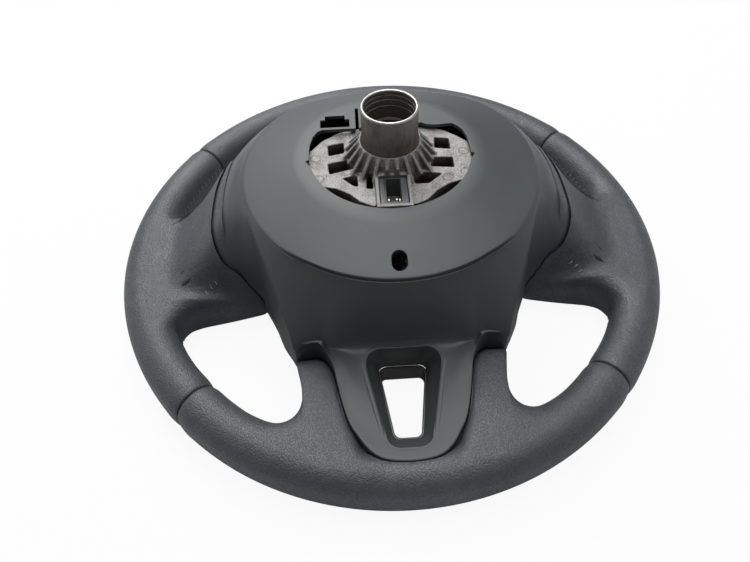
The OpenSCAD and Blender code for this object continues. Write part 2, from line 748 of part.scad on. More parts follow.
cover_half = refined(cover_sections, [for (s = cover_sections) (s[0] > -71 && s[0] < -44) || (s[0] > 30 && s[0] < 89)]);
cover_last = len(cover_half) - 1;
cover_round = concat(cover_half,
    [for (i = [cover_last - 1 : -1 : 1])
        concat([180 - cover_half[i][0]], [for (j = [1 : 16]) cover_half[i][j]])]);

function cover_ring(profiles, k) =
    [for (i = [0 : len(cover_round) - 1])
        let (q = profiles[i][k], e = polar(q[0], cover_round[i][0])) [e.x, e.y, q[1]]];

// Plan of the window in the cover's disc: round below, closed above by the bridge
module window_plan() {
    difference() {
        circle(window_r);
        translate([-window_r, bridge_y - 1])
            square([window_r, window_r]);
        polygon([
            [0, bridge_y - 1], [19, bridge_y], [22, bridge_y + 2], [25, bridge_y], [33, bridge_y - 1],
            [42, bridge_y], [46, bridge_y - 4], [50, bridge_y - 14], [window_r + 2, 0],
            [window_r + 2, window_r + 2], [0, window_r + 2]
        ]);
        polygon([
            [-window_r - 2, 3], [-window_r, 4], [-window_r + 2, 17],
            [-window_r + 7, bridge_y - 1], [-window_r - 2, bridge_y + 3]
        ]);
    }
    circle(flute_r + 0.5);
    for (s = [-1, 1])
        polygon([[s * (window_r - 1.5), -4], [s * (window_r + 2), -5.5], [s * (window_r - 1), -10]]);
}

// Trapezoid with rounded corners at height z: half widths and distances below the axis
function slot_ring(top_w, low_w, top_y, low_y, r, z) =
    let (c = [[top_w - r, -top_y - r, 45], [-top_w + r, -top_y - r, 135],
            [-low_w + r, -low_y + r, 225], [low_w - r, -low_y + r, 315]])
    [for (q = c) for (j = [-2 : 2])
        let (e = polar(r, q[2] + j * 22.5))
        [q[0] + e.x, q[1] + e.y, z]];

recess_low_z = 20;
recess_wall = 1.8;

// Height of the tongue's upper face at a distance below the axis
function tongue_z(d) =
    lookup(d, [for (p = [[99, 49], [106, 42], [112, 39.4], [118, 37.4], [130, 34.5], [150, 32.5], [168, 34]])
        [low_y(p[0]), wall_z(p[1])]]);
function drape(ring, dz) = [for (p = ring) [p.x, p.y, tongue_z(-p.y) + dz]];
function recess_low(grow, z) =
    let (g = grow + 1.5)
    slot_ring(slot_top_w + g, slot_low_w + g, slot_top_y - g, slot_low_y + g, 5 + grow, z);
function recess_high(grow) =
    slot_ring(recess_top_w + grow, slot_low_w + 5 + grow, slot_top_y + 0.5 - grow, slot_low_y + 12 + grow, 8 + grow, 0);

// Funnel between the recess in the tongue and the window, to a height dz from the tongue's face
module recess_funnel(grow, low_z, dz) {
    loft([drape(recess_high(grow), dz), recess_low(grow, low_z)]);
}

// Moulded shell from the hub window over the shoulders and the apron to the lower spoke
module back_cover() {
    outer = [for (s = cover_round) cover_profile(s)];
    inner = [for (p = outer) inner_profile(p, cover_t)];
    k = len(outer[0]);
    color("#3a3d3f")
        difference() {
            union() {
                closed_loft(concat(
                    [for (i = [0 : k - 1]) cover_ring(outer, i)],
                    [for (i = [k - 1 : -1 : 0]) if (i != 2) cover_ring(inner, i)]));
                recess_funnel(recess_wall, recess_low_z, -cover_t / 2);
                for (p = screw_at)
                    translate([p.x, p.y, screw_land(p)])
                        cylinder(h = disc_under(norm(p)) - screw_land(p) + 0.8, r = screw_r + 2);
            }
            recess_funnel(0, recess_low_z - 0.01, 0.01);
            translate([0, 0, grip_h / 2])
                linear_extrude(grip_h)
                    polygon([for (p = recess_high(0)) [p.x, p.y]]);
            translate([0, 0, land_z - 2 * cover_t])
                linear_extrude(3 * cover_t)
                    window_plan();
            translate([-43, bridge_y + 1, land_z - 4 * cover_t])
                cube([19, 8, 6 * cover_t]);
            translate([-40, bridge_y + 1, land_z - 4 * cover_t])
                cube([13, 12, 6 * cover_t]);
            translate([-20.2, bridge_y - 3, land_z - 4 * cover_t])
                cube([2.2, 23, 6 * cover_t]);
            for (d = [-1, 1])
                translate([-0.5, -82 + d * tool_hole_rise, disc_z - 12])
                    cylinder(h = 24, d = tool_hole_d);
            translate([-0.5 - tool_hole_d / 2, -82 - tool_hole_rise, disc_z - 12])
                cube([tool_hole_d, 2 * tool_hole_rise, 24]);
            for (s = [-1, 1])
                spoke_side(s, 0);
            for (p = screw_at)
                translate([p.x, p.y, screw_land(p) - 1])
                    cylinder(h = disc_under(norm(p)) - screw_land(p) + 1, r = screw_r);
        }
}
tool_hole_rise = 1.5;
function disc_under(r) = mix(land_z, disc_z + 0.45, (r - window_r - 6) / (disc_r - 1.6 - window_r - 6)) - cover_t;

lug_z = 61;
lug_t = 2;
pin_head_t = 2.6;

// Screws that hold the cover to the casting, driven from the front
module cover_screws() {
    color("gray")
        for (p = screw_at)
            translate([p[0], p[1], 0])
                difference() {
                    union() {
                        translate([0, 0, screw_seat(p) - 2.4])
                            cylinder(h = 2.4, r = screw_r + 1.8);
                        translate([0, 0, screw_seat(p) - 0.1])
                            cylinder(h = disc_under(norm(p)) - screw_seat(p), r = screw_r - 0.1);
                    }
                    translate([0, 0, screw_seat(p) - 2.5])
                        cylinder(h = 1.6, r = 1.3, $fn = 6);
                }
}

// Squib connector's housing in the cast frame
module connector_housing() {
    w = 8.6;
    l = 19;
    color("gray")
        difference() {
            translate([-socket_w / 2, socket_y - socket_l / 2, under_z - 3])
                cube([socket_w, socket_l, plate_t + 5.6]);
            translate([-w / 2, socket_y - l / 2 + 1.4, under_z + 1])
                cube([w, l, 30]);
        }
}

module connector_pins() {
    color("gold")
        for (x = [-2.8, 0, 2.8])
            translate([x - 0.5, socket_y - 5.2, under_z + 1])
                cube([1, 1, plate_t - 3.4]);
}

// Radius of the horn pad's outline at angle a
pad_top_y = 64;
pad_low_y = 68;
function pad_r(a) =
    let (n = 2.7, ry = sin(a) > 0 ? pad_top_y : pad_low_y)
    pow(pow(abs(cos(a)) / pad_x, n) + pow(abs(sin(a)) / ry, n), -1 / n);
pad_n = 24;
function pad_ring(inset, z) =
    [for (i = [0 : pad_n - 1]) let (a = 360 / pad_n * i, p = polar(pad_r(a) - inset, a)) [p.x, p.y, z]];
function pad_plan(inset) = [for (p = pad_ring(inset, 0)) [p.x, p.y]];

tray_z = 42;
tray_t = 2;
tray_wall_in = 14;

// Moulded horn pad over the airbag
module horn_pad() {
    color("#26282b")
        loft([
            pad_ring(50, pad_z + pad_t), pad_ring(26, pad_z + 1 + pad_t), pad_ring(pad_t + 9, pad_z + 6.6),
            pad_ring(pad_t + 1.5, pad_z + 12.4), pad_ring(pad_t, pad_z + 18), pad_ring(pad_t, tray_z),
            pad_ring(0, tray_z), pad_ring(0, pad_z + 18), pad_ring(0.5, pad_z + 12), pad_ring(3.6, pad_z + 7),
            pad_ring(11, pad_z + 3.4), pad_ring(26, pad_z + 1), pad_ring(50, pad_z)
        ]);
}

// Folded airbag between the pad and the tray
module airbag_cushion() {
    color("white")
        difference() {
            loft([
                pad_ring(tray_wall_in + 0.4, tray_z - 0.3), pad_ring(tray_wall_in + 0.4, pad_z + pad_t + 10),
                pad_ring(tray_wall_in + 3, pad_z + pad_t + 5.5), pad_ring(30, pad_z + pad_t + 1.4)
            ]);
            translate([0, 0, generator_low_z - 0.5])
                cylinder(h = 30, d = generator_d + 1);
        }
}

generator_low_z = 34;
generator_top_z = 67;

// Pressed steel tray that carries the generator, the pad and the lugs on the guide pins
module airbag_tray() {
    color("dimgray")
        difference() {
            union() {
                translate([0, 0, tray_z])
                    linear_extrude(tray_t)
                        polygon(pad_plan(0.6));
                translate([0, 0, tray_z - 10])
                    linear_extrude(10.5)
                        polygon(pad_plan(tray_wall_in - 2));
                for (p = pin_at) {
                    a = atan2(p[1], p[0]);
                    rotate([0, 0, a]) {
                        translate([norm(p) - 7.5, -8, lug_z])
                            cube([15.5, 16, lug_t]);
                        translate([norm(p) + 6.2, -8, tray_z + tray_t / 2])
                            cube([1.8, 16, lug_z - tray_z - tray_t / 2 + lug_t]);
                    }
                }
            }
            translate([0, 0, tray_z - 11])
                linear_extrude(11)
                    polygon(pad_plan(tray_wall_in));
            cylinder(h = 200, d = generator_d + 0.4);
            for (p = pin_at)
                translate([p[0], p[1], lug_z - 1])
                    cylinder(h = 2 * lug_t, r = pin_r + 0.3);
        }
}

// Gas generator: welded can with a bolted flange
module gas_generator() {
    r = generator_d / 2;
    flange_r = r + 6;
    color("silver") {
        rotate_extrude()
            polygon([
                [0, generator_low_z], [r - 5, generator_low_z], [r - 1, generator_low_z + 3],
                [r - 1, tray_z + tray_t], [flange_r, tray_z + tray_t], [flange_r, tray_z + tray_t + 2],
                [r, tray_z + tray_t + 2], [r, generator_top_z - 4], [r - 4, generator_top_z],
                [12, generator_top_z], [12, generator_top_z - 2.5], [0, generator_top_z - 2.5]
            ]);
        for (a = [45, 135, 225, 315])
            rotate([0, 0, a])
                translate([r + 3, 0, tray_z + tray_t + 1.9])
                    cylinder(h = 4, d = 5.4, $fn = 6);
    }
}

// Shouldered pins on which the horn module is hung
module guide_pins() {
    color("lightgray")
        for (p = pin_at)
            translate([p[0], p[1], 0]) {
                translate([0, 0, lug_z - 0.3 - pin_head_t])
                    cylinder(h = pin_head_t, r = 5.4);
                translate([0, 0, lug_z - 0.4])
                    cylinder(h = pin_top(p) - lug_z + 0.3, r = pin_r);
            }
}

spring_turns = 3;
spring_wire = 1.4;
spring_coil_r = 5.4;

// Helical spring from z0 to z1
module coil_spring(z0, z1) {
    per = 6;
    n = floor(spring_turns * per);
    loft([for (i = [n : -1 : 0])
        let (a = 360 / per * i, z = mix(z0 + spring_wire / 2, z1 - spring_wire / 2, i / n))
        [for (j = [0 : 3])
            let (r = spring_coil_r - spring_wire / 2 * cos(90 * j))
            [r * cos(a), r * sin(a), z + spring_wire / 2 * sin(90 * j)]]]);
}

// Springs that push the horn module back to its stop
module horn_springs() {
    color("gray")
        for (p = pin_at)
            translate([p[0], p[1], 0])
                coil_spring(lug_z + lug_t + 0.3, under_z - 0.3);
}

// Fixed contact ring of the horn, on three feet under the casting
module horn_contact_plate() {
    ring_z = generator_top_z + horn_travel + 0.4;
    ring_r = generator_d / 2;
    ring_w = 10;
    ring_t = 1.4;
    foot_w = 6;
    foot_t = 2;
    color("goldenrod") {
        translate([0, 0, ring_z])
            difference() {
                cylinder(h = ring_t, r = ring_r);
                translate([0, 0, -1])
                    cylinder(h = ring_t + 2, r = ring_r - ring_w);
            }
        for (a = [30, 90, 150])
            translate([(ring_r - ring_w / 2) * cos(a) - foot_w / 2, (ring_r - ring_w / 2) * sin(a) - foot_t / 2, 0])
                translate([0, 0, ring_z + ring_t - 0.1])
                    cube([foot_w, foot_t, under_z - ring_z - ring_t + 0.1]);
    }
}

bezel_z = 12;
bezel_t = 2.4;

// Outer edge of the front bezel at a cover section
function bezel_r(s) =
    let (a = s[0])
    sin(a) < -0.5 ? min(s[15], (apron_y - 2.6) / -sin(a)) : s[15];

// Dish round the horn pad, up to the back cover's edge
module front_bezel() {
    n = len(cover_round);
    gap = pad_gap;
    rows = [for (i = [0 : n - 1])
        let (s = cover_round[i], p = pad_r(s[0]) + gap, r = bezel_r(s), top = s[16] - 0.4)
        [[p, bezel_z + 14], [p, bezel_z + 2], [mix(p, r, 0.5), bezel_z - 0.5],
            [r - 4.5, bezel_z + 0.6], [r - 0.6, bezel_z + 4.5], [r, max(top, bezel_z + 5.5)],
            [r - bezel_t, max(top, bezel_z + 5.5)], [r - bezel_t - 3, bezel_z + bezel_t + 0.8],
            [p + bezel_t, bezel_z + bezel_t + 0.8], [p + bezel_t, bezel_z + 14]]];
    color("#303235")
        difference() {
            closed_loft([for (k = [len(rows[0]) - 1 : -1 : 0])
                [for (i = [0 : n - 1])
                    let (e = polar(rows[i][k][0], cover_round[i][0])) [e.x, e.y, rows[i][k][1]]]]);
            for (s = [-1, 1]) {
                spoke_side(s, -0.3);
                translate([s * pod_x, pod_y, 0])
                    linear_extrude(bezel_z + 12)
                        square([pod_w + 0.6, pod_l + 0.6], center = true);
            }
        }
}

pod_y = 4;
key_z = bezel_z - 2.2;
well_h = 5;
key_gap = 0.3;

// Trim of the lower spoke on the driver's side, with the collar of the window
function trim_half(grow) =
    [for (p = stations(tongue_side, 2)) if (p[0] < 50)
        [p[0] < 1 ? 0 : p[0] - 1 + grow, 97.4 + (p[1] - 97.4) * (grip_in + 4 - 97.4) / (tongue_end - 97.4) + grow]];
module trim_plan(grow) {
    h = trim_half(grow);
    polygon(concat(
        [for (p = h) [p[0], -p[1]]],
        [for (i = [len(h) - 1 : -1 : 0]) [-h[i][0], -h[i][1]]]));
}
module slot_plan(grow) {
    r = slot_ring(slot_top_w + grow, slot_low_w + grow, slot_top_y - grow, slot_low_y + grow, 4 + grow, 0);
    polygon([for (p = r) [p.x, p.y]]);
}
trim_z = 6;
trim_t = 3;
module trim_prism(gap) {
    translate([0, 0, -1])
        linear_extrude(trim_z + trim_t + 1.5 + gap)
            trim_plan(gap);
}
module lower_spoke_trim() {
    color("#8d9196")
        difference() {
            union() {
                translate([0, 0, trim_z])
                    linear_extrude(trim_t)
                        trim_plan(0);
                translate([0, 0, trim_z + 1])
                    linear_extrude(recess_low_z - 0.4 - trim_z - 1)
                        slot_plan(1.6);
            }
            translate([0, 0, -1])
                linear_extrude(grip_h)
                    slot_plan(0);
        }
}

// Base of a switch pod, s = 1 right or -1 left, with two wells for the keys
module switch_base(s) {
    color("#1f2124")
        translate([s * pod_x, pod_y, 0])
            difference() {
                translate([-pod_w / 2, -pod_l / 2, bezel_z])
                    cube([pod_w, pod_l, 13]);
                for (t = [-1, 1])
                    translate([0, t * (pod_l / 4 - 0.4), bezel_z])
                        cube([pod_w - 5, pod_l / 2 - 4, 2 * well_h], center = true);
            }
}
module left_switch_base() {
    switch_base(-1);
}
module right_switch_base() {
    switch_base(1);
}

module key_plan(w, l) {
    r = 3;
    for (x = [-1, 1])
        for (y = [-1, 1])
            translate([x * (w - r), y * (l - r)])
                circle(r, $fn = 24);
    square([2 * w, 2 * (l - r)], center = true);
    square([2 * (w - r), 2 * l], center = true);
}

// Push key in a switch pod, t = 1 upper or -1 lower
module key(s, t) {
    w = pod_w / 2 - 3;
    l = pod_l / 4 - 2.5;
    y = pod_l / 4 - 0.4;
    color("#2c2f33")
        translate([s * pod_x, pod_y + t * y, 0])
            {
                translate([0, 0, key_z])
                    linear_extrude(2)
                        key_plan(w - 0.8, l - 0.8);
                translate([0, 0, key_z + 1])
                    linear_extrude(bezel_z + well_h - key_travel - key_gap - key_z - 1)
                        key_plan(w, l);
            }
}
module left_upper_key() {
    key(-1, 1);
}
module left_lower_key() {
    key(-1, -1);
}
module right_upper_key() {
    key(1, 1);
}
module right_lower_key() {
    key(1, -1);
}

hub_sleeve();
armature();
rim_ring();
rim_foam();
leather_top();
leather_left();
leather_right();
leather_bottom();
back_cover();
cover_screws();
connector_housing();
connector_pins();
front_bezel();
lower_spoke_trim();
horn_contact_plate();
guide_pins();
horn_springs();
airbag_tray();
gas_generator();
airbag_cushion();
horn_pad();
left_switch_base();
right_switch_base();
left_upper_key();
left_lower_key();
right_upper_key();
right_lower_key();
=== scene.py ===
import json
import logging
import math
from dataclasses import dataclass, field
from enum import Enum
from typing import Any, Callable, Iterable, Sequence

import bmesh
import bpy
import numpy as np
from mathutils import Matrix, Vector
from mathutils.bvhtree import BVHTree


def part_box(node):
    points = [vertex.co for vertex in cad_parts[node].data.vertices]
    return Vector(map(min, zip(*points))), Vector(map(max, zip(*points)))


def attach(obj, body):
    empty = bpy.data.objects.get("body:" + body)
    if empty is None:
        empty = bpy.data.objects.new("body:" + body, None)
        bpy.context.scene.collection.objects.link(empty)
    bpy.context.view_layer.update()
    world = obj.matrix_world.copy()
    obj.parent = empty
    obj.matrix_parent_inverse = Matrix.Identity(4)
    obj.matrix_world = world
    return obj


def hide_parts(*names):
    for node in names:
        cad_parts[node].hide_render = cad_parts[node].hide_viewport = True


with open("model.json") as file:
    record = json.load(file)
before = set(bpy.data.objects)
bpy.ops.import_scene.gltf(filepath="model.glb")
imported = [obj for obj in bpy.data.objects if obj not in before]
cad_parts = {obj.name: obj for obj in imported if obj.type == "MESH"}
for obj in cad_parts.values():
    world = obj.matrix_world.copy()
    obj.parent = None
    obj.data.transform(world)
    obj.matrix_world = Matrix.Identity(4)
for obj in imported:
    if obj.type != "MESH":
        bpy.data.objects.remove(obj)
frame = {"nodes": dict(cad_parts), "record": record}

log = logging.getLogger("steering_wheel")
MM = 0.001
WELD = 2e-6
Point = tuple[float, float, float]
Plan = tuple[float, float]


def wrap(angle: float) -> tuple[float, float]:
    """Cosine and sine of an angle in degrees."""
    return math.cos(math.radians(angle)), math.sin(math.radians(angle))


def mix(a: float, b: float, t: float) -> float:
    """The value a share t of the way from a to b."""
    return a + (b - a) * t


def smooth(t: float) -> float:
    """Eases t from 0 to 1."""
    t = min(1.0, max(0.0, t))
    return t * t * (3 - 2 * t)


def spline(stations: Sequence[Sequence[float]], u: float) -> list[float]:
    """A point on the curve through the stations.

    Args:
        stations: lists of numbers of one length.
        u: place on the curve, counted in stations.

    Returns:
        The numbers at that place.
    """
    last = len(stations) - 1
    i = min(int(math.floor(u)), last - 1)
    t = u - i
    a, b, c, d = (stations[min(max(k, 0), last)] for k in (i - 1, i, i + 1, i + 2))
    return [0.5 * (2 * q + (r - p) * t + (2 * p - 5 * q + 4 * r - s) * t * t
                   + (3 * q - p - 3 * r + s) * t ** 3) for p, q, r, s in zip(a, b, c, d)]


def refined(stations: Sequence[Sequence[float]], per: int) -> list[list[float]]:
    """The stations with per steps between each two."""
    return [spline(stations, i / per) for i in range((len(stations) - 1) * per + 1)]


def spread(stations: Sequence[Sequence[float]], gap: Callable[[Sequence[float], Sequence[float]], float],
           step: float) -> list[list[float]]:
    """The stations with so many between them that no gap is wider than a step.

    Args:
        stations: lists of numbers of one length.
        gap: measures the gap between two stations.
        step: the widest gap wanted.

    Returns:
        The stations, the given ones among them.
    """
    rows = []
    for i in range(len(stations) - 1):
        n = max(2, math.ceil(gap(stations[i], stations[i + 1]) / step))
        rows += [spline(stations, i + k / n) for k in range(n)]
    return rows + [list(stations[-1])]


class Spoke(Enum):
    """The side of the wheel that a piece is on."""

    RIGHT = 1
    LEFT = -1


class Value:
    """A shader socket on which sums can be written."""

    def __init__(self, graph: "Graph", socket: Any) -> None:
        """Keeps the graph and the socket."""
        self.graph, self.socket = graph, socket

    def _sum(self, kind: str, first: Any, second: Any = None) -> "Value":
        """Adds one Math node."""
        return self.graph.node("ShaderNodeMath", {"operation": kind}, {0: first, 1: second})

    def __add__(self, other: Any) -> "Value":
        """self + other."""
        return self._sum("ADD", self, other)

    def __radd__(self, other: Any) -> "Value":
        """other + self."""
        return self._sum("ADD", other, self)

    def __sub__(self, other: Any) -> "Value":
        """self - other."""
        return self._sum("SUBTRACT", self, other)

    def __rsub__(self, other: Any) -> "Value":
        """other - self."""
        return self._sum("SUBTRACT", other, self)

    def __mul__(self, other: Any) -> "Value":
        """self * other."""
        return self._sum("MULTIPLY", self, other)

    def __rmul__(self, other: Any) -> "Value":
        """other * self."""
        return self._sum("MULTIPLY", other, self)

    def __pow__(self, other: float) -> "Value":
        """self to a power."""
        return self._sum("POWER", self, other)

    def __abs__(self) -> "Value":
        """The size of self without its sign."""
        return self._sum("ABSOLUTE", self)

    def low(self, other: Any) -> "Value":
        """The lower of the two."""
        return self._sum("MINIMUM", self, other)

    def high(self, other: Any) -> "Value":
        """The higher of the two."""
        return self._sum("MAXIMUM", self, other)

    def ramp(self, start: float, end: float) -> "Value":
        """0 below start, 1 above end, smooth between."""
        return self.graph.node("ShaderNodeMapRange", {"interpolation_type": "SMOOTHSTEP", "clamp": True},
                               {"Value": self, "From Min": start, "From Max": end, "To Min": 0.0, "To Max": 1.0})


class Graph:
    """The nodes of one material."""

    def __init__(self, name: str) -> None:
        """Starts an empty material of that name."""
        self.material = bpy.data.materials.new(name)
        self.material.use_nodes = True
        self.tree = self.material.node_tree
        self.tree.nodes.clear()
        self.place = self.node("ShaderNodeTexCoord", {}, {}, "Object")

    def node(self, kind: str, settings: dict[str, Any], values: dict[Any, Any], out: Any = 0) -> Value:
        """Adds one node.

        Args:
            kind: Blender's name for the node type.
            settings: attributes, set before the sockets.
            values: socket name or number to a Value or a constant.
            out: the output that the result wraps.

        Returns:
            The chosen output as a Value.
        """
        made = self.tree.nodes.new(kind)
        for key, setting in settings.items():
            setattr(made, key, setting)
        for key, value in values.items():
            if value is None:
                continue
            if isinstance(value, Value):
                self.tree.links.new(value.socket, made.inputs[key])
            else:
                made.inputs[key].default_value = value
        return Value(self, made.outputs[out])

    def noise(self, scale: float, detail: float = 3.0, rough: float = 0.5, place: Value | None = None) -> Value:
        """A noise pattern of about 1/scale metres."""
        return self.node("ShaderNodeTexNoise", {"noise_dimensions": "3D"},
                         {"Vector": place or self.place, "Scale": scale, "Detail": detail, "Roughness": rough})

    def cells(self, scale: float, place: Value | None = None) -> Value:
        """A cell pattern of about 1/scale metres."""
        return self.node("ShaderNodeTexVoronoi", {"feature": "F1"},
                         {"Vector": place or self.place, "Scale": scale}, "Distance")

    def part(self, vector: Value, axis: str) -> Value:
        """One coordinate of a vector."""
        return self.node("ShaderNodeSeparateXYZ", {}, {0: vector}, axis)

    def colour(self, factor: Value, first: Any, second: Any) -> Value:
        """A colour between two, each a triple or a Value."""
        first, second = ((*c, 1.0) if isinstance(c, tuple) else c for c in (first, second))
        return self.node("ShaderNodeMix", {"data_type": "RGBA"}, {0: factor, 6: first, 7: second}, 2)

    def bump(self, height: Value, depth: float, strength: float = 1.0, normal: Value | None = None) -> Value:
        """A normal from a height from 0 to 1 that stands for depth metres."""
        return self.node("ShaderNodeBump", {}, {"Height": height, "Distance": depth, "Strength": strength,
                                                "Normal": normal})

    def surface(self, colour: Any, rough: Any, normal: Value | None = None, metal: Any = 0.0,
                **fixed: float) -> bpy.types.Material:
        """Closes the material with one Principled shader.

        Args:
            colour: a triple or a Value.
            rough: a number or a Value.
            normal: the bumped normal.
            metal: a number or a Value.
            fixed: other sockets' constants, with _ for a blank.

        Returns:
            The finished material.
        """
        colour = (*colour, 1.0) if isinstance(colour, tuple) else colour
        values = {"Base Color": colour, "Roughness": rough, "Metallic": metal, "Normal": normal}
        values.update({key.replace("_", " "): v for key, v in fixed.items()})
        shader = self.node("ShaderNodeBsdfPrincipled", {}, values)
        output = self.tree.nodes.new("ShaderNodeOutputMaterial")
        self.tree.links.new(shader.socket, output.inputs["Surface"])
        return self.material


@dataclass(frozen=True)
class Leather:
    """Pebbled leather, polished by hands on its crown."""

    name: str = "leather"
    colour: Point = (0.041, 0.045, 0.052)
    worn: Point = (0.060, 0.066, 0.077)
    pebble: float = 1050.0

    def material(self) -> bpy.types.Material:
        """Grain, creases and polished patches."""
        g = Graph(self.name)
        drift = g.node("ShaderNodeTexNoise", {}, {"Vector": g.place, "Scale": 420.0, "Detail": 2.0}, "Color")
        shift = g.node("ShaderNodeVectorMath", {"operation": "SCALE"}, {0: drift, "Scale": 0.0010})
        bent = g.node("ShaderNodeVectorMath", {"operation": "ADD"}, {0: g.place, 1: shift})
        cells = g.cells(self.pebble, bent)
        pore = g.cells(self.pebble * 2.3, bent)
        crease = g.noise(150.0, 6.0, 0.68)
        patch = g.noise(19.0, 4.0, 0.6)
        groove = cells.ramp(0.38, 0.78)
        worn = patch.ramp(0.46, 0.70)
        tone = g.colour(worn * 0.65 + crease.ramp(0.42, 0.72) * 0.3, self.colour, self.worn)
        tone = g.colour(groove * 0.38, tone, tuple(c * 0.5 for c in self.colour))
        rough = 0.47 - worn * 0.06 + groove * 0.14 + (crease - 0.5) * 0.16
        height = 1.0 - groove * 0.7 - pore * 0.25
        normal = g.bump(height, 0.00019, 0.75, g.bump(crease, 0.0016, 0.4, g.bump(patch, 0.003, 0.25)))
        return g.surface(tone, rough, normal, Specular_IOR_Level=0.62)


@dataclass(frozen=True)
class Moulded:
    """Fine-textured moulded plastic."""

    name: str
    colour: Point
    rough: float = 0.5
    grain: float = 1.0
    dust: float = 0.3
    gloss: float = 0.5

    def material(self) -> bpy.types.Material:
        """Spark-eroded grain with dust in it and lighter handling marks."""
        g = Graph(self.name)
        grain = g.noise(2100.0, 2.0, 0.6)
        wave = g.noise(20.0, 3.0, 0.5)
        mark = g.cells(230.0)
        few = g.noise(31.0, 2.0).ramp(0.52, 0.66)
        specks = (1.0 - mark.ramp(0.05, 0.13)) * few
        scuff = g.noise(60.0, 7.0, 0.72).ramp(0.56, 0.76)
        haze = g.noise(7.0, 3.0, 0.55).ramp(0.4, 0.7)
        pale = tuple(min(1.0, c * 2.0 + 0.03) for c in self.colour)
        tone = g.colour(wave.ramp(0.3, 0.75), self.colour, tuple(c * 1.16 for c in self.colour))
        tone = g.colour((specks + scuff * 0.22 + haze * 0.16).low(1.0) * self.dust, tone, pale)
        rough = self.rough + scuff * 0.09 + (wave - 0.5) * 0.1 - (grain - 0.5) * 0.08
        normal = g.bump(grain, 0.00011 * self.grain, 0.55, g.bump(wave, 0.0008, 0.15))
        return g.surface(tone, rough, normal, Specular_IOR_Level=self.gloss)


@dataclass(frozen=True)
class CastMetal:
    """Die-cast light alloy, oxidised and stained, with painted shade darkening its walls and hollows."""

    name: str = "cast_metal"
    colour: Point = (0.30, 0.295, 0.285)
    # Brown used both for real stains and for painted shade on the walls and in the hollows.
    stain_and_shade_colour: Point = (0.050, 0.036, 0.026)
    marks: tuple[Plan, ...] = ((-46.0, 1.0), (46.5, 1.5), (-44.0, -18.0), (45.0, -17.5), (-21.5, 21.5), (33.5, -22.0))

    def material(self) -> bpy.types.Material:
        """Mottled skin, ejector marks, brown stains, and painted shade on the walls and in the hollows."""
        g = Graph(self.name)
        geometry = g.tree.nodes.new("ShaderNodeNewGeometry")
        facing = g.part(Value(g, geometry.outputs["Normal"]), "Z")
        edge = Value(g, geometry.outputs["Pointiness"])
        across, along, high = (g.part(g.place, axis) for axis in "XYZ")
        blotch = g.noise(120.0, 7.0, 0.74)
        broad = g.noise(45.0, 4.0, 0.6)
        fine = g.noise(1100.0, 4.0, 0.7)
        pits = 1.0 - g.cells(520.0).ramp(0.10, 0.34)
        # Painted shade: faces that turn away from straight up darken towards the brown.
        wall_shade = 1.0 - facing.ramp(0.15, 0.75)
        # Painted shade: everything below the hub's top face, in its hollows, darkens towards the brown.
        deep = 1.0 - high.ramp(0.0935, 0.1008)
        ring: Any = 0.0
        for x, y in self.marks:
            dx, dy = across - x * MM, along - y * MM
            away = (dx * dx + dy * dy) ** 0.5
            ring = (1.0 - abs(away - 0.0031).ramp(0.0, 0.00045)) + ring
        ring = ring * (1.0 - abs(high - 0.102).ramp(0.0004, 0.0010))
        # Brown mix: real stains from blotches, pits and ejector rings, plus painted shade on walls and in hollows;
        # convex edges stay lighter.
        stain_and_shade = wall_shade * 0.42 + deep * 0.8 + blotch.ramp(0.47, 0.66) * 0.42 + pits * 0.25 + ring * 0.3
        stain_and_shade = (stain_and_shade + broad.ramp(0.5, 0.75) * 0.25 - edge.ramp(0.5, 0.56) * 0.6).high(0.0).low(1.0)
        bright, dull = (tuple(c * share for c in self.colour) for share in (1.25, 0.62))
        tone = g.colour(fine.ramp(0.32, 0.68), bright, dull)
        tone = g.colour(stain_and_shade, tone, self.stain_and_shade_colour)
        rough = 0.50 + blotch * 0.2 + stain_and_shade * 0.15
        normal = g.bump(blotch, 0.0016, 0.6, g.bump(ring, 0.0006, 0.6))
        normal = g.bump(fine, 0.0003, 0.8, normal)
        return g.surface(tone, rough, normal, 0.55 - stain_and_shade * 0.4)


@dataclass(frozen=True)
class TurnedSteel:
    """Turned steel with a brown oxide film."""

    name: str = "sleeve_steel"
    colour: Point = (0.26, 0.245, 0.23)
    film: Point = (0.085, 0.062, 0.048)

    def material(self) -> bpy.types.Material:
        """Turning marks, a bright mouth, and an oxide film that thickens downwards."""
        g = Graph(self.name)
        across, along, high = (g.part(g.place, axis) for axis in "XYZ")
        rings = g.node("ShaderNodeTexWave", {"bands_direction": "Z"},
                       {"Vector": g.place, "Scale": 520.0, "Distortion": 0.8, "Detail": 2.0}, 1)
        stretch = g.node("ShaderNodeMapping", {}, {"Vector": g.place, "Scale": (1.0, 1.0, 0.35)})
        blotch = g.noise(150.0, 7.0, 0.72, stretch)
        broad = g.noise(38.0, 3.0, 0.6, stretch)
        fine = g.noise(1500.0, 3.0, 0.6)
        radius = (across * across + along * along) ** 0.5
        outside = radius.ramp(0.0160, 0.0166)
        deep = (1.0 - outside) * (1.0 - high.ramp(0.1175, 0.1225))
        low = outside * (1.0 - high.ramp(0.113, 0.139))
        film = low * 0.55 + outside * 0.32 + deep * 0.95
        film = film + blotch.ramp(0.44, 0.66) * 0.3 + broad.ramp(0.45, 0.7) * 0.25
        mouth = (1.0 - abs(high - 0.1397).ramp(0.0003, 0.0013)).high(0.0)
        film = (film - mouth * 0.9).high(0.0).low(1.0)
        tone = g.colour(film, self.colour, self.film)
        tone = g.colour(mouth * 0.7, tone, (0.55, 0.54, 0.52))
        tone = g.colour(deep * blotch.ramp(0.4, 0.6) * 0.6, tone, (0.15, 0.075, 0.035))
        rough = 0.34 + blotch * 0.2 + film * 0.2 - mouth * 0.1
        normal = g.bump(rings, 0.00006, 0.4, g.bump(fine, 0.00005, 0.5, g.bump(blotch, 0.0002, 0.25)))
        return g.surface(tone, rough, normal, 0.85 - film * 0.4)


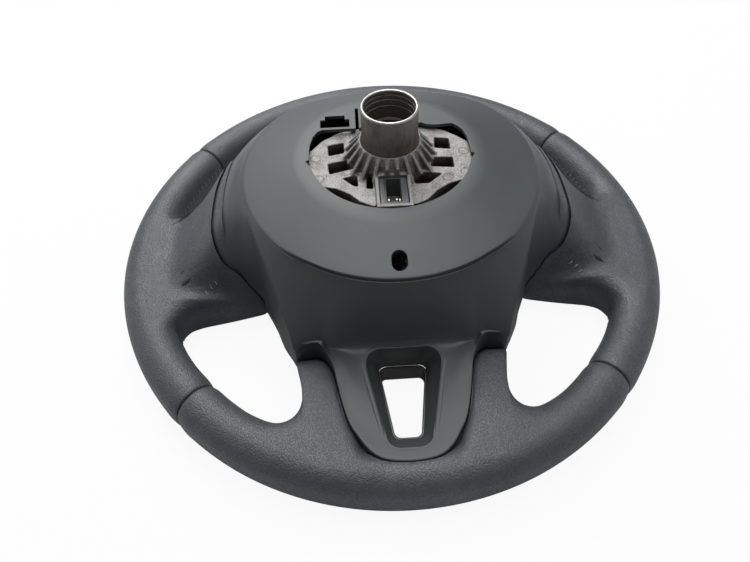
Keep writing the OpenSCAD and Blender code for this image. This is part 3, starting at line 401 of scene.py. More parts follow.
@dataclass(frozen=True)
class PlainMetal:
    """Sheet, wire or screw steel and contact metal."""

    name: str
    colour: Point
    rough: float = 0.4
    metal: float = 0.9

    def material(self) -> bpy.types.Material:
        """A light handling film over the metal."""
        g = Graph(self.name)
        film = g.noise(140.0, 5.0, 0.6)
        fine = g.noise(1800.0, 2.0, 0.6)
        tone = g.colour(film.ramp(0.35, 0.75), self.colour, tuple(c * 0.68 for c in self.colour))
        return g.surface(tone, self.rough + film * 0.18, g.bump(fine, 0.00004, 0.4), self.metal)


@dataclass(frozen=True)
class Woven:
    """Woven cloth or open foam."""

    name: str
    colour: Point
    pitch: float = 0.0009
    depth: float = 0.0002

    def material(self) -> bpy.types.Material:
        """Two crossed threads."""
        g = Graph(self.name)
        waves = [g.node("ShaderNodeTexWave", {"bands_direction": axis},
                        {"Vector": g.place, "Scale": 0.314 / self.pitch, "Distortion": 0.3}, 1) for axis in "XY"]
        weave = waves[0] * 0.5 + waves[1] * 0.5
        tone = g.colour(weave, tuple(c * 0.6 for c in self.colour), self.colour)
        tone = g.colour(g.noise(30.0, 4.0).ramp(0.4, 0.8) * 0.4, tone, tuple(c * 0.75 for c in self.colour))
        return g.surface(tone, 0.82 + weave * 0.1, g.bump(weave, self.depth, 0.6))


@dataclass(frozen=True)
class Thread:
    """Waxed sewing thread."""

    name: str = "thread"
    colour: Point = (0.055, 0.057, 0.060)

    def material(self) -> bpy.types.Material:
        """Twisted strands."""
        g = Graph(self.name)
        twist = g.noise(2600.0, 2.0, 0.5)
        tone = g.colour(twist, tuple(c * 0.6 for c in self.colour), tuple(c * 1.6 for c in self.colour))
        return g.surface(tone, 0.55 + twist * 0.15, g.bump(twist, 0.0001, 0.6))


class Workshop:
    """Mesh tools that the pieces share."""

    @staticmethod
    def clear() -> None:
        """Deselects everything."""
        if bpy.context.object and bpy.context.object.mode != "OBJECT":
            bpy.ops.object.mode_set(mode="OBJECT")
        bpy.ops.object.select_all(action="DESELECT")

    @staticmethod
    def take(piece: bpy.types.Object) -> None:
        """Makes the piece the only one selected, and active."""
        Workshop.clear()
        piece.select_set(True)
        bpy.context.view_layer.objects.active = piece

    @staticmethod
    def placed(name: str, data: Any) -> bpy.types.Object:
        """An object of that name around a mesh, lamp or camera."""
        piece = bpy.data.objects.new(name, data)
        bpy.context.collection.objects.link(piece)
        return piece

    @staticmethod
    def weld(piece: bpy.types.Object) -> None:
        """Joins points that lie in one place."""
        Workshop.take(piece)
        bpy.ops.object.mode_set(mode="EDIT")
        bpy.ops.mesh.select_all(action="SELECT")
        bpy.ops.mesh.remove_doubles(threshold=WELD)
        bpy.ops.object.mode_set(mode="OBJECT")

    @staticmethod
    def join(pieces: Sequence[bpy.types.Object], name: str) -> bpy.types.Object:
        """Makes one piece of several."""
        Workshop.clear()
        for piece in pieces:
            piece.select_set(True)
        bpy.context.view_layer.objects.active = pieces[0]
        bpy.ops.object.join()
        pieces[0].name = name
        return pieces[0]

    @staticmethod
    def face_up(piece: bpy.types.Object, above: float = -1.0) -> BVHTree:
        """Turns an open sheet's faces towards the column.

        Args:
            piece: the sheet.
            above: only the faces above this height, in metres, decide.

        Returns:
            The sheet as a search tree.
        """
        mesh = bmesh.new()
        mesh.from_mesh(piece.data)
        bmesh.ops.recalc_face_normals(mesh, faces=mesh.faces)
        if sum(f.normal.z for f in mesh.faces if f.calc_center_median().z > above) < 0:
            bmesh.ops.reverse_faces(mesh, faces=mesh.faces)
        mesh.to_mesh(piece.data)
        tree = BVHTree.FromBMesh(mesh)
        mesh.free()
        return tree

    @staticmethod
    def sheet(name: str, rows: Sequence[Sequence[Point]]) -> bpy.types.Object:
        """A grid laid through rows of points.

        Args:
            name: the piece's name.
            rows: rows of as many points each, in millimetres.

        Returns:
            The piece, its edges joined where they meet.
        """
        Workshop.clear()
        bpy.ops.mesh.primitive_grid_add(x_subdivisions=len(rows[0]) - 1, y_subdivisions=len(rows) - 1, size=1)
        piece = bpy.context.object
        piece.name = name
        flat = [c * MM for row in rows for p in row for c in p]
        piece.data.vertices.foreach_set("co", flat)
        Workshop.weld(piece)
        piece.data.update()
        return piece

    @staticmethod
    def roll_over(piece: bpy.types.Object, lines: Iterable[Sequence[Plan]], reach: float, depth: float) -> None:
        """Rounds an open sheet over towards lines in plan, as a moulded edge or tucked leather does.

        Args:
            piece: the sheet, before it gets its wall.
            lines: open lines in plan, in millimetres.
            reach: how far from a line the roll starts, in millimetres.
            depth: how deep it goes at the line, in millimetres.
        """
        count = len(piece.data.vertices)
        place, normal = np.empty(count * 3), np.empty(count * 3)
        piece.data.vertices.foreach_get("co", place)
        piece.data.vertices.foreach_get("normal", normal)
        place, normal = place.reshape(-1, 3), normal.reshape(-1, 3)
        near = np.full(count, np.inf)
        for line in lines:
            for a, b in zip(np.array(line[:-1]) * MM, np.array(line[1:]) * MM):
                run = b - a
                share = np.clip((place[:, :2] - a) @ run / max(run @ run, 1e-12), 0, 1)
                near = np.minimum(near, np.linalg.norm(place[:, :2] - a - share[:, None] * run, axis=1))
        share = np.clip(1 - near / (reach * MM), 0, 1)
        place -= normal * (depth * MM * (1 - np.sqrt(1 - share ** 2)))[:, None]
        piece.data.vertices.foreach_set("co", place.ravel())
        piece.data.update()

    @staticmethod
    def lathe(name: str, line: Sequence[Plan], steps: int = 128) -> bpy.types.Object:
        """A closed line of radius and height spun round the steering axis."""
        Workshop.clear()
        mesh = bpy.data.meshes.new(name)
        edges = [(i, (i + 1) % len(line)) for i in range(len(line))]
        mesh.from_pydata([(r * MM, 0, z * MM) for r, z in line], edges, [])
        piece = Workshop.placed(name, mesh)
        Workshop.take(piece)
        bpy.ops.object.mode_set(mode="EDIT")
        bpy.ops.mesh.select_all(action="SELECT")
        bpy.ops.mesh.spin(steps=steps, angle=math.tau, center=(0, 0, 0), axis=(0, 0, 1))
        bpy.ops.mesh.select_all(action="SELECT")
        bpy.ops.mesh.remove_doubles(threshold=WELD)
        bpy.ops.mesh.normals_make_consistent(inside=False)
        bpy.ops.object.mode_set(mode="OBJECT")
        return piece

    @staticmethod
    def outward(piece: bpy.types.Object) -> None:
        """Turns the faces of a closed piece outwards."""
        Workshop.take(piece)
        bpy.ops.object.mode_set(mode="EDIT")
        bpy.ops.mesh.select_all(action="SELECT")
        bpy.ops.mesh.normals_make_consistent(inside=False)
        bpy.ops.object.mode_set(mode="OBJECT")

    @staticmethod
    def modify(piece: bpy.types.Object, kind: str, **settings: Any) -> None:
        """Adds one modifier and applies it."""
        Workshop.take(piece)
        made = piece.modifiers.new(kind.lower(), kind)
        for key, value in settings.items():
            setattr(made, key, value)
        bpy.ops.object.modifier_apply(modifier=made.name)

    @staticmethod
    def prism(name: str, plan: Sequence[Plan], low: float, high: float) -> bpy.types.Object:
        """An upright cutter from a plan, in millimetres."""
        Workshop.clear()
        mesh = bpy.data.meshes.new(name)
        n = len(plan)
        points = [(x * MM, y * MM, z * MM) for z in (low, high) for x, y in plan]
        sides = [(i, (i + 1) % n, n + (i + 1) % n, n + i) for i in range(n)]
        mesh.from_pydata(points, [], [tuple(range(n - 1, -1, -1)), tuple(range(n, 2 * n)), *sides])
        piece = Workshop.placed(name, mesh)
        Workshop.outward(piece)
        return piece

    @staticmethod
    def cut(piece: bpy.types.Object, cutters: Iterable[bpy.types.Object], kind: str = "DIFFERENCE") -> None:
        """Cuts the piece with each cutter, which is then removed."""
        for cutter in cutters:
            Workshop.modify(piece, "BOOLEAN", object=cutter, operation=kind, solver="EXACT")
            bpy.data.objects.remove(cutter, do_unlink=True)

    @staticmethod
    def soften(piece: bpy.types.Object, width: float, segments: int = 3) -> None:
        """Rounds the piece's edges to a width in millimetres."""
        Workshop.modify(piece, "BEVEL", width=width * MM, segments=segments, limit_method="ANGLE", angle_limit=0.6)

    @staticmethod
    def shade(piece: bpy.types.Object, angle: float) -> None:
        """Shades smooth up to an angle in degrees."""
        Workshop.take(piece)
        bpy.ops.object.shade_smooth_by_angle(angle=math.radians(angle))

    @staticmethod
    def dress(piece: bpy.types.Object, material: bpy.types.Material, body: str, slot: str,
              nodes: Sequence[str] = ()) -> bpy.types.Object:
        """Gives a piece its material and body, and hides the nodes it stands for."""
        piece.data.materials.clear()
        piece.data.materials.append(material)
        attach(piece, body)
        if nodes:
            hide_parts(*nodes)
        log.info("%s: %d faces", piece.name, len(piece.data.polygons))
        return piece

    @staticmethod
    def copy_of(node: str, name: str) -> bpy.types.Object:
        """A welded copy of a CAD node."""
        piece = Workshop.placed(name, frame["nodes"][node].data.copy())
        Workshop.weld(piece)
        return piece


@dataclass
class RimShape:
    """Sizes of the rim and the stations of its spoke roots, in millimetres."""

    outer_r: float = 185.0
    grip_w: float = 28.6
    grip_h: float = 34.4
    seam_w: float = 0.8
    seam_hi: float = 35.1
    seam_lo: float = 43.9
    parting_x: float = 115.5
    parting_gap: float = 0.5
    tucked: float = 2.5

    @property
    def inner_r(self) -> float:
        """Inner radius of the rim."""
        return self.outer_r - self.grip_w

    @property
    def centre_r(self) -> float:
        """Radius of the grip's middle."""
        return self.outer_r - self.grip_w / 2

    @property
    def seam_half(self) -> float:
        """Half a seam's width in degrees."""
        return math.degrees(math.asin(self.seam_w / 2 / self.inner_r))

    def plain(self, angle: float) -> list[float]:
        """A station of the bare rim."""
        x, y = wrap(angle)
        return [angle, self.inner_r * x, self.inner_r * y, self.grip_h, 0, 2, 0, 0]

    def side_root(self) -> list[list[float]]:
        """Stations of the right panel, from the upper seam down to the lower one."""
        p, r, h = self.parting_x, self.inner_r, self.grip_h
        return [
            self.plain(self.seam_hi - self.seam_half), self.plain(27), self.plain(19), self.plain(13),
            [10, r - 6.5, 25.5, h - 1, 0, 2, 0, 0],
            [8, r - 14, 25, 36, 3, 2.2, 0, 0],
            [6.2, p + 11.5, 39, 48, 8, 3, 0, -17],
            [4.5, p - 7, 56, 66.5, 12, 4, 0, -20],
            [2, p - 11, 44, 83, 13, 6, 0, -8],
            [-2, p - 11, 16, 90, 13, 8, 0, 0],
            [-6, p - 11, -8, 91, 13, 8, 0, 0],
            [-9.5, p - 12, -26, 88, 13, 8, 0, 0],
            [-12, p - 15, -36, 74, 13, 6, 0, 0],
            [-14.2, p - 22, -43, 46, 13, 5, 0, 0],
            [-16.2, p - 33, -49.5, 23, 12, 4, 0, 0],
            [-18.2, p - 6, -51.5, 24, 9, 3, 0, 0],
            [-20.8, p + 11, -53, 30, 5, 2.4, 0, 0],
            [-23.8, p + 20.5, -58, 34, 1, 2, 0, 0],
            [-26.8, r - 16, -66.5, h, 0, 2, 0, 0],
            self.plain(-30), self.plain(-36), self.plain(-self.seam_lo + self.seam_half)]

    def bottom_root(self) -> list[list[float]]:
        """Stations of the bottom panel, from the left seam round to the right one."""
        h, t = self.grip_h, self.tucked
        tab = [
            self.plain(-90), self.plain(-84.5), self.plain(-80.8),
            [-78.8, 32 - t, -146, 33.5, 2, 3, 0, 0],
            [-77, 38 - t, -128, 33.5, 5, 4, 0, 0],
            [-75.4, 42.5 - t, -107.5, 34, 7, 4, 0, 0],
            [-74, 49 - t / 2, -97.6, 35, 8, 4, 0, 0],
            [-72.6, 57, -96.8, 35, 8, 4, 0, 0],
            [-71.2, 64, -97.6, 34.5, 8, 3.5, -4, 0],
            [-69.8, 61.8, -105, 34, 7, 3.5, -3.5, 0],
            [-68.2, 59.2, -116, 34, 5, 3, -2, 0],
            [-66, 59.8, -126.5, 34, 3, 2.6, 0, 0],
            [-63, 65.5, -133.5, h, 1, 2.2, 0, 0],
            [-59.5, 75, -135, h, 0, 2, 0, 0],
            self.plain(-55.5), self.plain(-50), self.plain(-self.seam_lo - self.seam_half)]
        other = [[-180 - s[0], -s[1], s[2], s[3], s[4], s[5], -s[6], s[7]] for s in tab[:0:-1]]
        return other + tab

    def section(self, s: Sequence[float], inset: float, outer: int, inner: int) -> list[Point]:
        """Points of one closed rim section.

        Args:
            s: the station.
            inset: how far the section is drawn in.
            outer: points on the round outer half.
            inner: points on the inner half.

        Returns:
            The section's points, the first one repeated at the end.
        """
        ex, ey = wrap(s[0])
        radius = self.grip_w / 2 - inset
        flat = (self.grip_h - self.grip_w) / 2
        middle = Vector((self.centre_r * ex, self.centre_r * ey))
        far = Vector((s[1], s[2]))
        reach = far - (far - middle).normalized() * inset
        bend = (middle + reach) / 2 + Vector((s[6], s[7]))
        points = []
        for j in range(outer):
            c, d = wrap(-90 + 180 * j / (outer - 1))
            side = max(-1.0, min(1.0, d / 0.35))
            r = self.centre_r + radius * c
            points.append((r * ex, r * ey, self.grip_h / 2 + side * flat + radius * d))
        for j in range(1, inner + 1):
            angle = 180 * j / (inner + 1)
            c, f = wrap(angle)
            h = max(0.0, 1 - f ** s[5]) ** (1 / s[5])
            rise = (max(0.0, f - 0.28) / 0.72) ** 1.6
            top = mix(self.grip_h - inset, s[3] - inset, rise)
            low = mix(inset, s[4] + inset, rise)
            side = max(-1.0, min(1.0, c / 0.35))
            sign = 1 if c > 0 else -1 if c < 0 else 0
            b = middle * (1 - f) ** 2 + bend * 2 * f * (1 - f) + reach * f * f
            points.append((b.x, b.y, (top + low) / 2 + sign * h * ((top - low) / 2 - flat) + side * flat))
        return points + [points[0]]

    def parting(self) -> list[Plan]:
        """Parting line between the cover and the leather, right side, in plan."""
        p = self.parting_x
        line = [[p - 4, 60], [p - 5, 52], [p - 2.5, 36], [p - 0.5, 18], [p, 2], [p - 0.3, -12], [p - 1.5, -25],
                [p - 4, -34], [p - 8.5, -38.5], [p - 17, -41.5], [p - 27, -47], [p - 31, -50]]
        return [(x, y) for x, y in refined(line, 6)]

    def beyond(self, spoke: Spoke, gap: float, spoke_side: bool) -> bpy.types.Object:
        """A cutter for one side of the parting line."""
        p = self.parting_x
        if spoke_side:
            rest = [(p - 20, -75), (self.outer_r, -75), (self.outer_r, 60)]
        else:
            rest = [(p - 40, -60), (0, -60), (0, 70), (p - 10, 70)]
        plan = [(spoke.value * (x + gap), y - gap) for x, y in self.parting() + rest]
        return Workshop.prism("parting_cutter", plan, -2, self.grip_h * 3)


@dataclass
class LeatherRim:
    """The four leather panels with their seams."""

    shape: RimShape
    leather_t: float = 1.3
    across: int = 84
    step: float = 1.9
    roll_depth: float = 1.2
    roll_reach: float = 1.5
    sink: float = 0.5
    sink_reach: float = 3.4
    swell: float = 0.14
    swell_at: float = 7.5
    swell_reach: float = 3.5
    seam_rows: tuple[float, ...] = (0, 0.15, 0.4, 0.8, 1.5, 2.5)
    tuck_reach: float = 1.7
    tuck_depth: float = 0.9

    def roll(self, row: Sequence[float], ends: tuple[float, float]) -> float:
        """How far a section is drawn in near a seam.

        Args:
            row: the station.
            ends: rim angles of the panel's two ends.

        Returns:
            The inset in millimetres.
        """
        away = min(abs(row[0] - e) for e in ends) * math.pi / 180 * self.shape.centre_r
        tight = self.roll_depth * (1 - math.sqrt(max(0.0, 1 - (1 - min(1.0, away / self.roll_reach)) ** 2)))
        sunk = self.sink * math.exp(-(away / self.sink_reach) ** 2)
        return tight + sunk - self.swell * math.exp(-((away - self.swell_at) / self.swell_reach) ** 2)

    def gap(self, a: Sequence[float], b: Sequence[float]) -> float:
        """The widest way between two stations, in millimetres."""
        return max(abs(a[0] - b[0]) * math.pi / 180 * self.shape.outer_r, math.hypot(a[1] - b[1], a[2] - b[2]))

    def skin(self, name: str, stations: list[list[float]], lines: Iterable[Sequence[Plan]] = ()) -> bpy.types.Object:
        """One leather panel with its wall.

        Args:
            name: the piece's name.
            stations: the panel's stations in order.
            lines: lines in plan at which the leather is tucked in.

        Returns:
            The panel.
        """
        ends = (stations[0][0], stations[-1][0])
        arc = math.pi / 180 * self.shape.centre_r
        sign = 1 if ends[1] > ends[0] else -1
        inner = [row for row in spread(stations, self.gap, self.step)
                 if min(abs(row[0] - e) for e in ends) * arc > self.seam_rows[-1] + 1]
        rows = [self.shape.plain(ends[0] + sign * away / arc) for away in self.seam_rows]
        rows += inner
        rows += [self.shape.plain(ends[1] - sign * away / arc) for away in self.seam_rows[::-1]]
        half = self.across // 2
        piece = Workshop.sheet(name, [self.shape.section(row, self.roll(row, ends), half, half) for row in rows])
        Workshop.outward(piece)
        for line in lines:
            Workshop.roll_over(piece, [line], self.tuck_reach, self.tuck_depth)
        Workshop.modify(piece, "SOLIDIFY", thickness=self.leather_t * MM, offset=-1, use_rim=True)
        return piece

    def panels(self, material: bpy.types.Material) -> list[bpy.types.Object]:
        """Builds and dresses the four panels."""
        shape = self.shape
        low = shape.seam_hi + shape.seam_half
        top = [shape.plain(a) for a in [low + (180 - 2 * low) * i / 16 for i in range(17)]]
        made = [self.finish(self.skin("rim_leather_top", top), material, "leather_top")]
        for spoke in Spoke:
            rows = shape.side_root()
            if spoke is Spoke.LEFT:
                rows = [[180 - s[0], -s[1], s[2], s[3], s[4], s[5], -s[6], s[7]] for s in rows]
            line = [(spoke.value * (x + shape.parting_gap), y - shape.parting_gap) for x, y in shape.parting()]
            piece = self.skin(f"rim_leather_{spoke.name.lower()}", rows, [line])
            Workshop.cut(piece, [shape.beyond(spoke, shape.parting_gap, False)])
            made.append(self.finish(piece, material, f"leather_{spoke.name.lower()}"))
        cover = BackCover(shape)
        half = [(x + 0.5, -y - 0.5) for x, y in cover.tongue_half() if x < 63]
        line = [(-x, y) for x, y in half[::-1]] + half
        piece = self.skin("rim_leather_bottom", shape.bottom_root(), [line])
        Workshop.cut(piece, [cover.tongue_cutter(0.5, 25.5), cover.trim_cutter(0.5)])
        made.append(self.finish(piece, material, "leather_bottom"))
        return made

    @staticmethod
    def finish(piece: bpy.types.Object, material: bpy.types.Material, node: str) -> bpy.types.Object:
        """Shades and dresses one panel."""
        Workshop.shade(piece, 40)
        return Workshop.dress(piece, material, "wheel", "leather", [node])


@dataclass
class BackCover:
    """The moulded back cover with its window, slots, tool hole, recess and tongue."""

    shape: RimShape
    wall: float = 2.4
    disc_r: float = 92.0
    land_z: float = 106.0
    drop: float = 11.0
    window_r: float = 50.0
    bridge_y: float = 25.0
    sleeve_r: float = 17.0
    apron_y: float = 99.0
    slot_top: Plan = (13.5, 102.0)
    slot_low: Plan = (8.0, 147.0)
    recess_top_w: float = 22.0
    recess_wall: float = 1.2
    lip: float = 1.3
    tongue_angle: float = -70.9
    edge_reach: float = 1.6
    edge_depth: float = 0.8

    def sections(self) -> list[list[float]]:
        """Stations of the shell: an angle, then radius and height from the disc's edge to the lip."""
        d, z = self.disc_r, self.land_z - self.drop
        end = self.shape.centre_r - 3.7

        def at(a: float) -> float:
            """Radius of the apron at angle a."""
            return self.apron_y / -wrap(a)[1]
        return [
            [-90, d, z, d + 2.8, 78, self.apron_y, 49, self.apron_y + 6, 42, 130, 34.5, 150, 32.5,
             end, 34, end + 0.1, 26],
            [-84.5, d, z, d + 3, 78, at(-84.5), 49, 106, 42, 129, 34.5, 149, 32.5, 165.5, 34, 165.6, 26],
            [-81, d, z, d + 3.2, 78, at(-81), 49, 107, 42, 128, 34.5, 145, 32.8, 158.5, 33.8, 158.6, 26],
            [-78, d, z, d + 3.5, 78, at(-78), 48, 108, 42, 126, 35, 140, 33.2, 150.3, 33.4, 150.4, 26],
            [-74.7, d, z, d + 4, 77, at(-74.7), 47.5, 109, 42, 119, 37, 130, 34.5, 137.6, 34, 137.7, 26],
            [-71, d, z, d + 4.5, 76, at(-71), 47, 108.5, 43, 113, 40, 118.5, 38, 122, 37, 122.1, 26],
            [-67.8, d, z, d + 5, 75, at(-67.8), 46.5, 108.9, 43.5, 110.5, 42, 112, 40.5, 113.5, 39.5, 113.6, 27],
            [-63.2, d, z, d + 6.2, 72, 107, 47, 107.6, 44, 108, 42, 108.3, 40, 108.6, 38, 108.7, 28],
            [-59, d, z, d + 8, 70, 111.3, 45, 112, 42, 112.4, 39.5, 112.7, 37.5, 113, 36, 113.1, 27],
            [-56.6, d, z, d + 9, 70, 115, 42, 115.6, 37, 115.9, 34, 116.1, 31, 116.3, 28.5, 116.3, 25],
            [-53.5, d, z, d + 8, 74, 111, 52, 112, 44, 112.6, 38, 113, 33, 113.3, 29, 113.5, 24.5],
            [-48, d, z, d + 6, 81, 105.3, 65, 106.7, 55, 107.8, 45, 108.6, 37, 109.2, 31, 109.5, 26],
            [-42, d, z, d + 4.5, 86.5, 101.2, 75, 102, 62, 102.9, 50, 103.6, 39, 104.1, 31, 104.4, 24],
            [-37, d, z, d + 3.5, 89, 98.6, 81, 99.2, 66, 100, 52, 100.8, 39, 101.6, 29, 102, 21.5],
            [-32, d, z, d + 2.7, 91, 96.8, 85, 97.3, 69, 98, 54, 99, 39, 100, 27, 100.5, 18.5],
            [-28, d, z, d + 2.2, 92, 95.6, 87.5, 97, 72, 98.8, 56, 101, 40, 103, 26, 104, 17],
            [-24, d, z, d + 1.8, 92.7, 95, 89, 97.4, 75.5, 101, 60, 104.8, 42, 107.6, 26, 108.6, 17],
            [-20.5, d, z, d + 1.5, 93.2, 95, 90, 98.5, 79.5, 103.5, 68, 109.5, 53, 114.5, 36, 117, 25],
            [-17, d, z, d + 1.5, 93.2, 95.3, 90.5, 100, 83, 106.5, 73.5, 114, 63.5, 120, 53.5, 122, 50],
            [-11, d, z, d + 1.5, 93.2, 95.6, 91, 101, 85.5, 108, 77.5, 114.5, 69.5, 121, 61, 123, 60],
            [0, d, z, d + 1.6, 93.1, 96, 90.7, 101.5, 85.8, 108, 77.5, 114.5, 69.3, 121, 60, 123, 58],
            [14, d, z, d + 1.7, 93, 96.2, 90.5, 101.6, 85.5, 108.5, 76.5, 115.5, 68, 122, 58.5, 124, 57],
            [26, d, z, d + 1.6, 93, 96.2, 90.3, 102, 84.5, 109.5, 76, 116.5, 66, 121.2, 56, 122.6, 50],
            [38, d - 1, z, d + 0.6, 93, 95.5, 90, 102, 83.5, 110, 74, 116.5, 63.5, 119.5, 54, 120, 46],
            [52, d - 6, z + 1, d - 3.5, 93.2, 93, 89, 101, 81.5, 109.5, 71.5, 115.5, 61, 118, 53, 118.5, 46],
            [70, d - 15, z + 3, d - 11, 95, 87, 89, 97.5, 80.5, 107.5, 70, 113.5, 60, 116, 52, 116.3, 46],
            [90, d - 19, z + 4, d - 15, 95.5, 84.5, 89, 96, 80, 106.5, 69.5, 112.5, 60, 115, 52, 115.3, 46]]

    def profile(self, s: Sequence[float], fine: int) -> list[Plan]:
        """Radius and height of one section from the window outwards.

        Args:
            s: the station.
            fine: points between two knots.

        Returns:
            The line, with a rounded lip at its outer edge.
        """
        knots = [[self.sleeve_r + 5, self.land_z], [self.window_r + 6, self.land_z], [s[1] - 1.8, s[2] + 0.5],
                 [s[1] - 0.2, s[2] - 0.1], [s[1] + 0.7, s[2] - 1.1]] + [[s[i], s[i + 1]] for i in range(3, 14, 2)]
        corner, last = Vector((s[13], s[14])), Vector((s[11], s[12]))
        back = (last - corner).normalized() * self.lip
        down = (Vector((s[15], s[16])) - corner).normalized() * self.lip
        knots[-1] = list(corner + back)
        line: list[Plan] = []
        for i in range(len(knots) - 1):
            for k in range(fine):
                t = k / fine
                if i < 2:
                    line.append((mix(knots[i][0], knots[i + 1][0], t), mix(knots[i][1], knots[i + 1][1], t)))
                else:
                    line.append(tuple(spline(knots[2:], i - 2 + t)))
        line += [tuple(corner + back * (1 - k / 5) ** 2 + down * (k / 5) ** 2) for k in range(6)]
        foot = corner + down
        line += [(mix(foot.x, s[15], k / 4), mix(foot.y, s[16], k / 4)) for k in range(1, 5)]
        return line

    def tongue_half(self) -> list[Plan]:
        """Right half of the tongue's outline from its end upwards, as distance from the middle and below the axis."""
        c = self.shape.centre_r
        side = [[0, c - 3.7], [9, c - 4.4], [17.5, c - 7], [24, c - 13], [28.5, c - 20], [32.5, 144], [36, 133],
                [38.5, 122], [40.5, 112.5], [43, 105], [46, 100], [50, 97], [64.5, 97]]
        return [(x, y) for x, y in refined(side, 6)]

    def reach(self, angle: float) -> float:
        """Distance from the axis to the tongue's outline at an angle."""
        x, y = wrap(angle)
        half = self.tongue_half()
        for (ax, ay), (bx, by) in zip(half, half[1:]):
            first, second = ax * -y - ay * x, bx * -y - by * x
            if first <= 0 <= second or second <= 0 <= first:
                t = first / (first - second) if first != second else 0.0
                return math.hypot(mix(ax, bx, t), mix(ay, by, t))
        return self.shape.centre_r - 3.7

    def tongue_cutter(self, gap: float, low: float) -> bpy.types.Object:
        """A cutter that clears the tongue's place in the leather."""
        half = [(x + (gap if x > 1 else 0), -y - gap) for x, y in self.tongue_half()]
        plan = half + [(76, -97), (76, -80), (-76, -80), (-76, -97)] + [(-x, y) for x, y in half[:0:-1]]
        return Workshop.prism("tongue_cutter", plan, low, 70)

    def trim_half(self, grow: float) -> list[Plan]:
        """Right half of the front trim's outline."""
        end, top = self.shape.centre_r - 3.7, 97.4
        span = (self.shape.inner_r + 4 - top) / (end - top)
        return [(max(0.0, x - 1) + (grow if x >= 1 else 0), top + (y - top) * span + grow)
                for x, y in self.tongue_half() if x == 0 or 1.2 < x < 50]

    def trim_cutter(self, gap: float) -> bpy.types.Object:
        """A cutter that clears the front trim's place in the leather."""
        half = self.trim_half(gap)
        plan = [(x, -y) for x, y in half] + [(-x, -y) for x, y in half[:0:-1]]
        return Workshop.prism("trim_cutter", plan, -2, 11)

    def window(self) -> list[bpy.types.Object]:
        """Cutters of the hub window."""
        b, w = self.bridge_y, self.window_r
        right = [(50, 4), (49.5, 11), (47.5, 18), (45, 21.5), (42, 24.6), (38, 24.4), (33, 24), (29, 24.1), (25, 25),
                 (23.4, 26.2), (22, 27), (19.5, 26.6), (17.6, 25.4)]
        arc = [(29.5 * wrap(a)[0], 29.5 * wrap(a)[1]) for a in range(60, 121, 4)]
        left = [(-18.5, 24), (-42, 24), (-45, 22), (-47.6, 17.4), (-49.4, 10), (-50, 4)]
        low = [(w * wrap(a)[0], w * wrap(a)[1]) for a in range(184, 357, 3)]
        notch = [(48.8, -4), (52, -5.8), (49.2, -10.5)]
        cutters = [Workshop.prism("window_cutter", right + arc + left + low, self.land_z - 6, self.land_z + 6)]
        for s in (1, -1):
            cutters.append(Workshop.prism("notch_cutter", [(s * x, y) for x, y in notch][::s],
                                          self.land_z - 6, self.land_z + 6))
        block = [(-43, b + 1), (-24, b + 1), (-24, b + 9), (-27, b + 9), (-27, b + 13), (-40, b + 13), (-40, b + 9),
                 (-43, b + 9)]
        cutters.append(Workshop.prism("block_cutter", block, self.land_z - 8, self.land_z + 6))
        cutters.append(Workshop.prism("slot_cutter", [(-20.2, b - 3), (-18, b - 3), (-18, b + 20), (-20.2, b + 20)],
                                      self.land_z - 8, self.land_z + 6))
        hole = [(-0.5 + 4.5 * wrap(a)[0], -82 + (1.5 if 0 < a < 180 else -1.5) + 4.5 * wrap(a)[1])
                for a in range(5, 360, 10)]
        cutters.append(Workshop.prism("tool_cutter", hole, 84, 108))
        return cutters

    @staticmethod
    def trapezoid(top: Plan, low: Plan, r: float, fine: int = 7) -> list[Plan]:
        """A trapezoid with rounded corners, from half widths and distances below the axis."""
        (tw, ty), (lw, ly) = top, low
        corners = [(tw - r, -ty - r, 45), (-tw + r, -ty - r, 135), (-lw + r, -ly + r, 225), (lw - r, -ly + r, 315)]
        plan = []
        for x, y, a in corners:
            for j in range(fine):
                c, s = wrap(a - 45 + 90 * j / (fine - 1))
                plan.append((x + r * c, y + r * s))
        return plan

    def recess(self, surface: BVHTree) -> list[list[Point]]:
        """Rows of points from the tongue's face down the recess to the window's collar.

        Args:
            surface: the cover's outer face, on which the recess's lip lies.

        Returns:
            The rows, outermost first.
        """
        steps = [(2.6, 0.0, 0.02), (1.6, 0.0, 0.04), (0.8, 0.0, -0.06), (0.2, 0.0, -0.5), (-0.2, 0.04, -1.2)]
        steps += [(-0.3, t, -1.2) for t in (0.12, 0.25, 0.4, 0.55, 0.7, 0.85, 1.0)]
        rows = []
        for out, t, dz in steps:
            t_top = smooth(t) if t < 1 else 1.0
            wt = mix(self.recess_top_w, self.slot_top[0] + 1.5, t_top) + out
            wl = mix(self.slot_low[0] + 5, self.slot_low[0] + 1.5, t_top) + out
            yt = mix(self.slot_top[1] + 0.5, self.slot_top[1] - 1.5, t_top) - out
            yl = mix(self.slot_low[1] + 12, self.slot_low[1] + 1.5, t_top) + out
            plan = self.trapezoid((wt, yt), (wl, yl), mix(8, 5, t_top) + out)
            row = []
            for x, y in plan:
                hit = surface.ray_cast(Vector((x * MM, y * MM, 0.2)), Vector((0, 0, -1)))[0]
                face = hit.z / MM if hit else 40.0
                row.append((x, y, mix(face + dz, 20.0, t)))
            rows.append(row + [row[0]])
        return rows

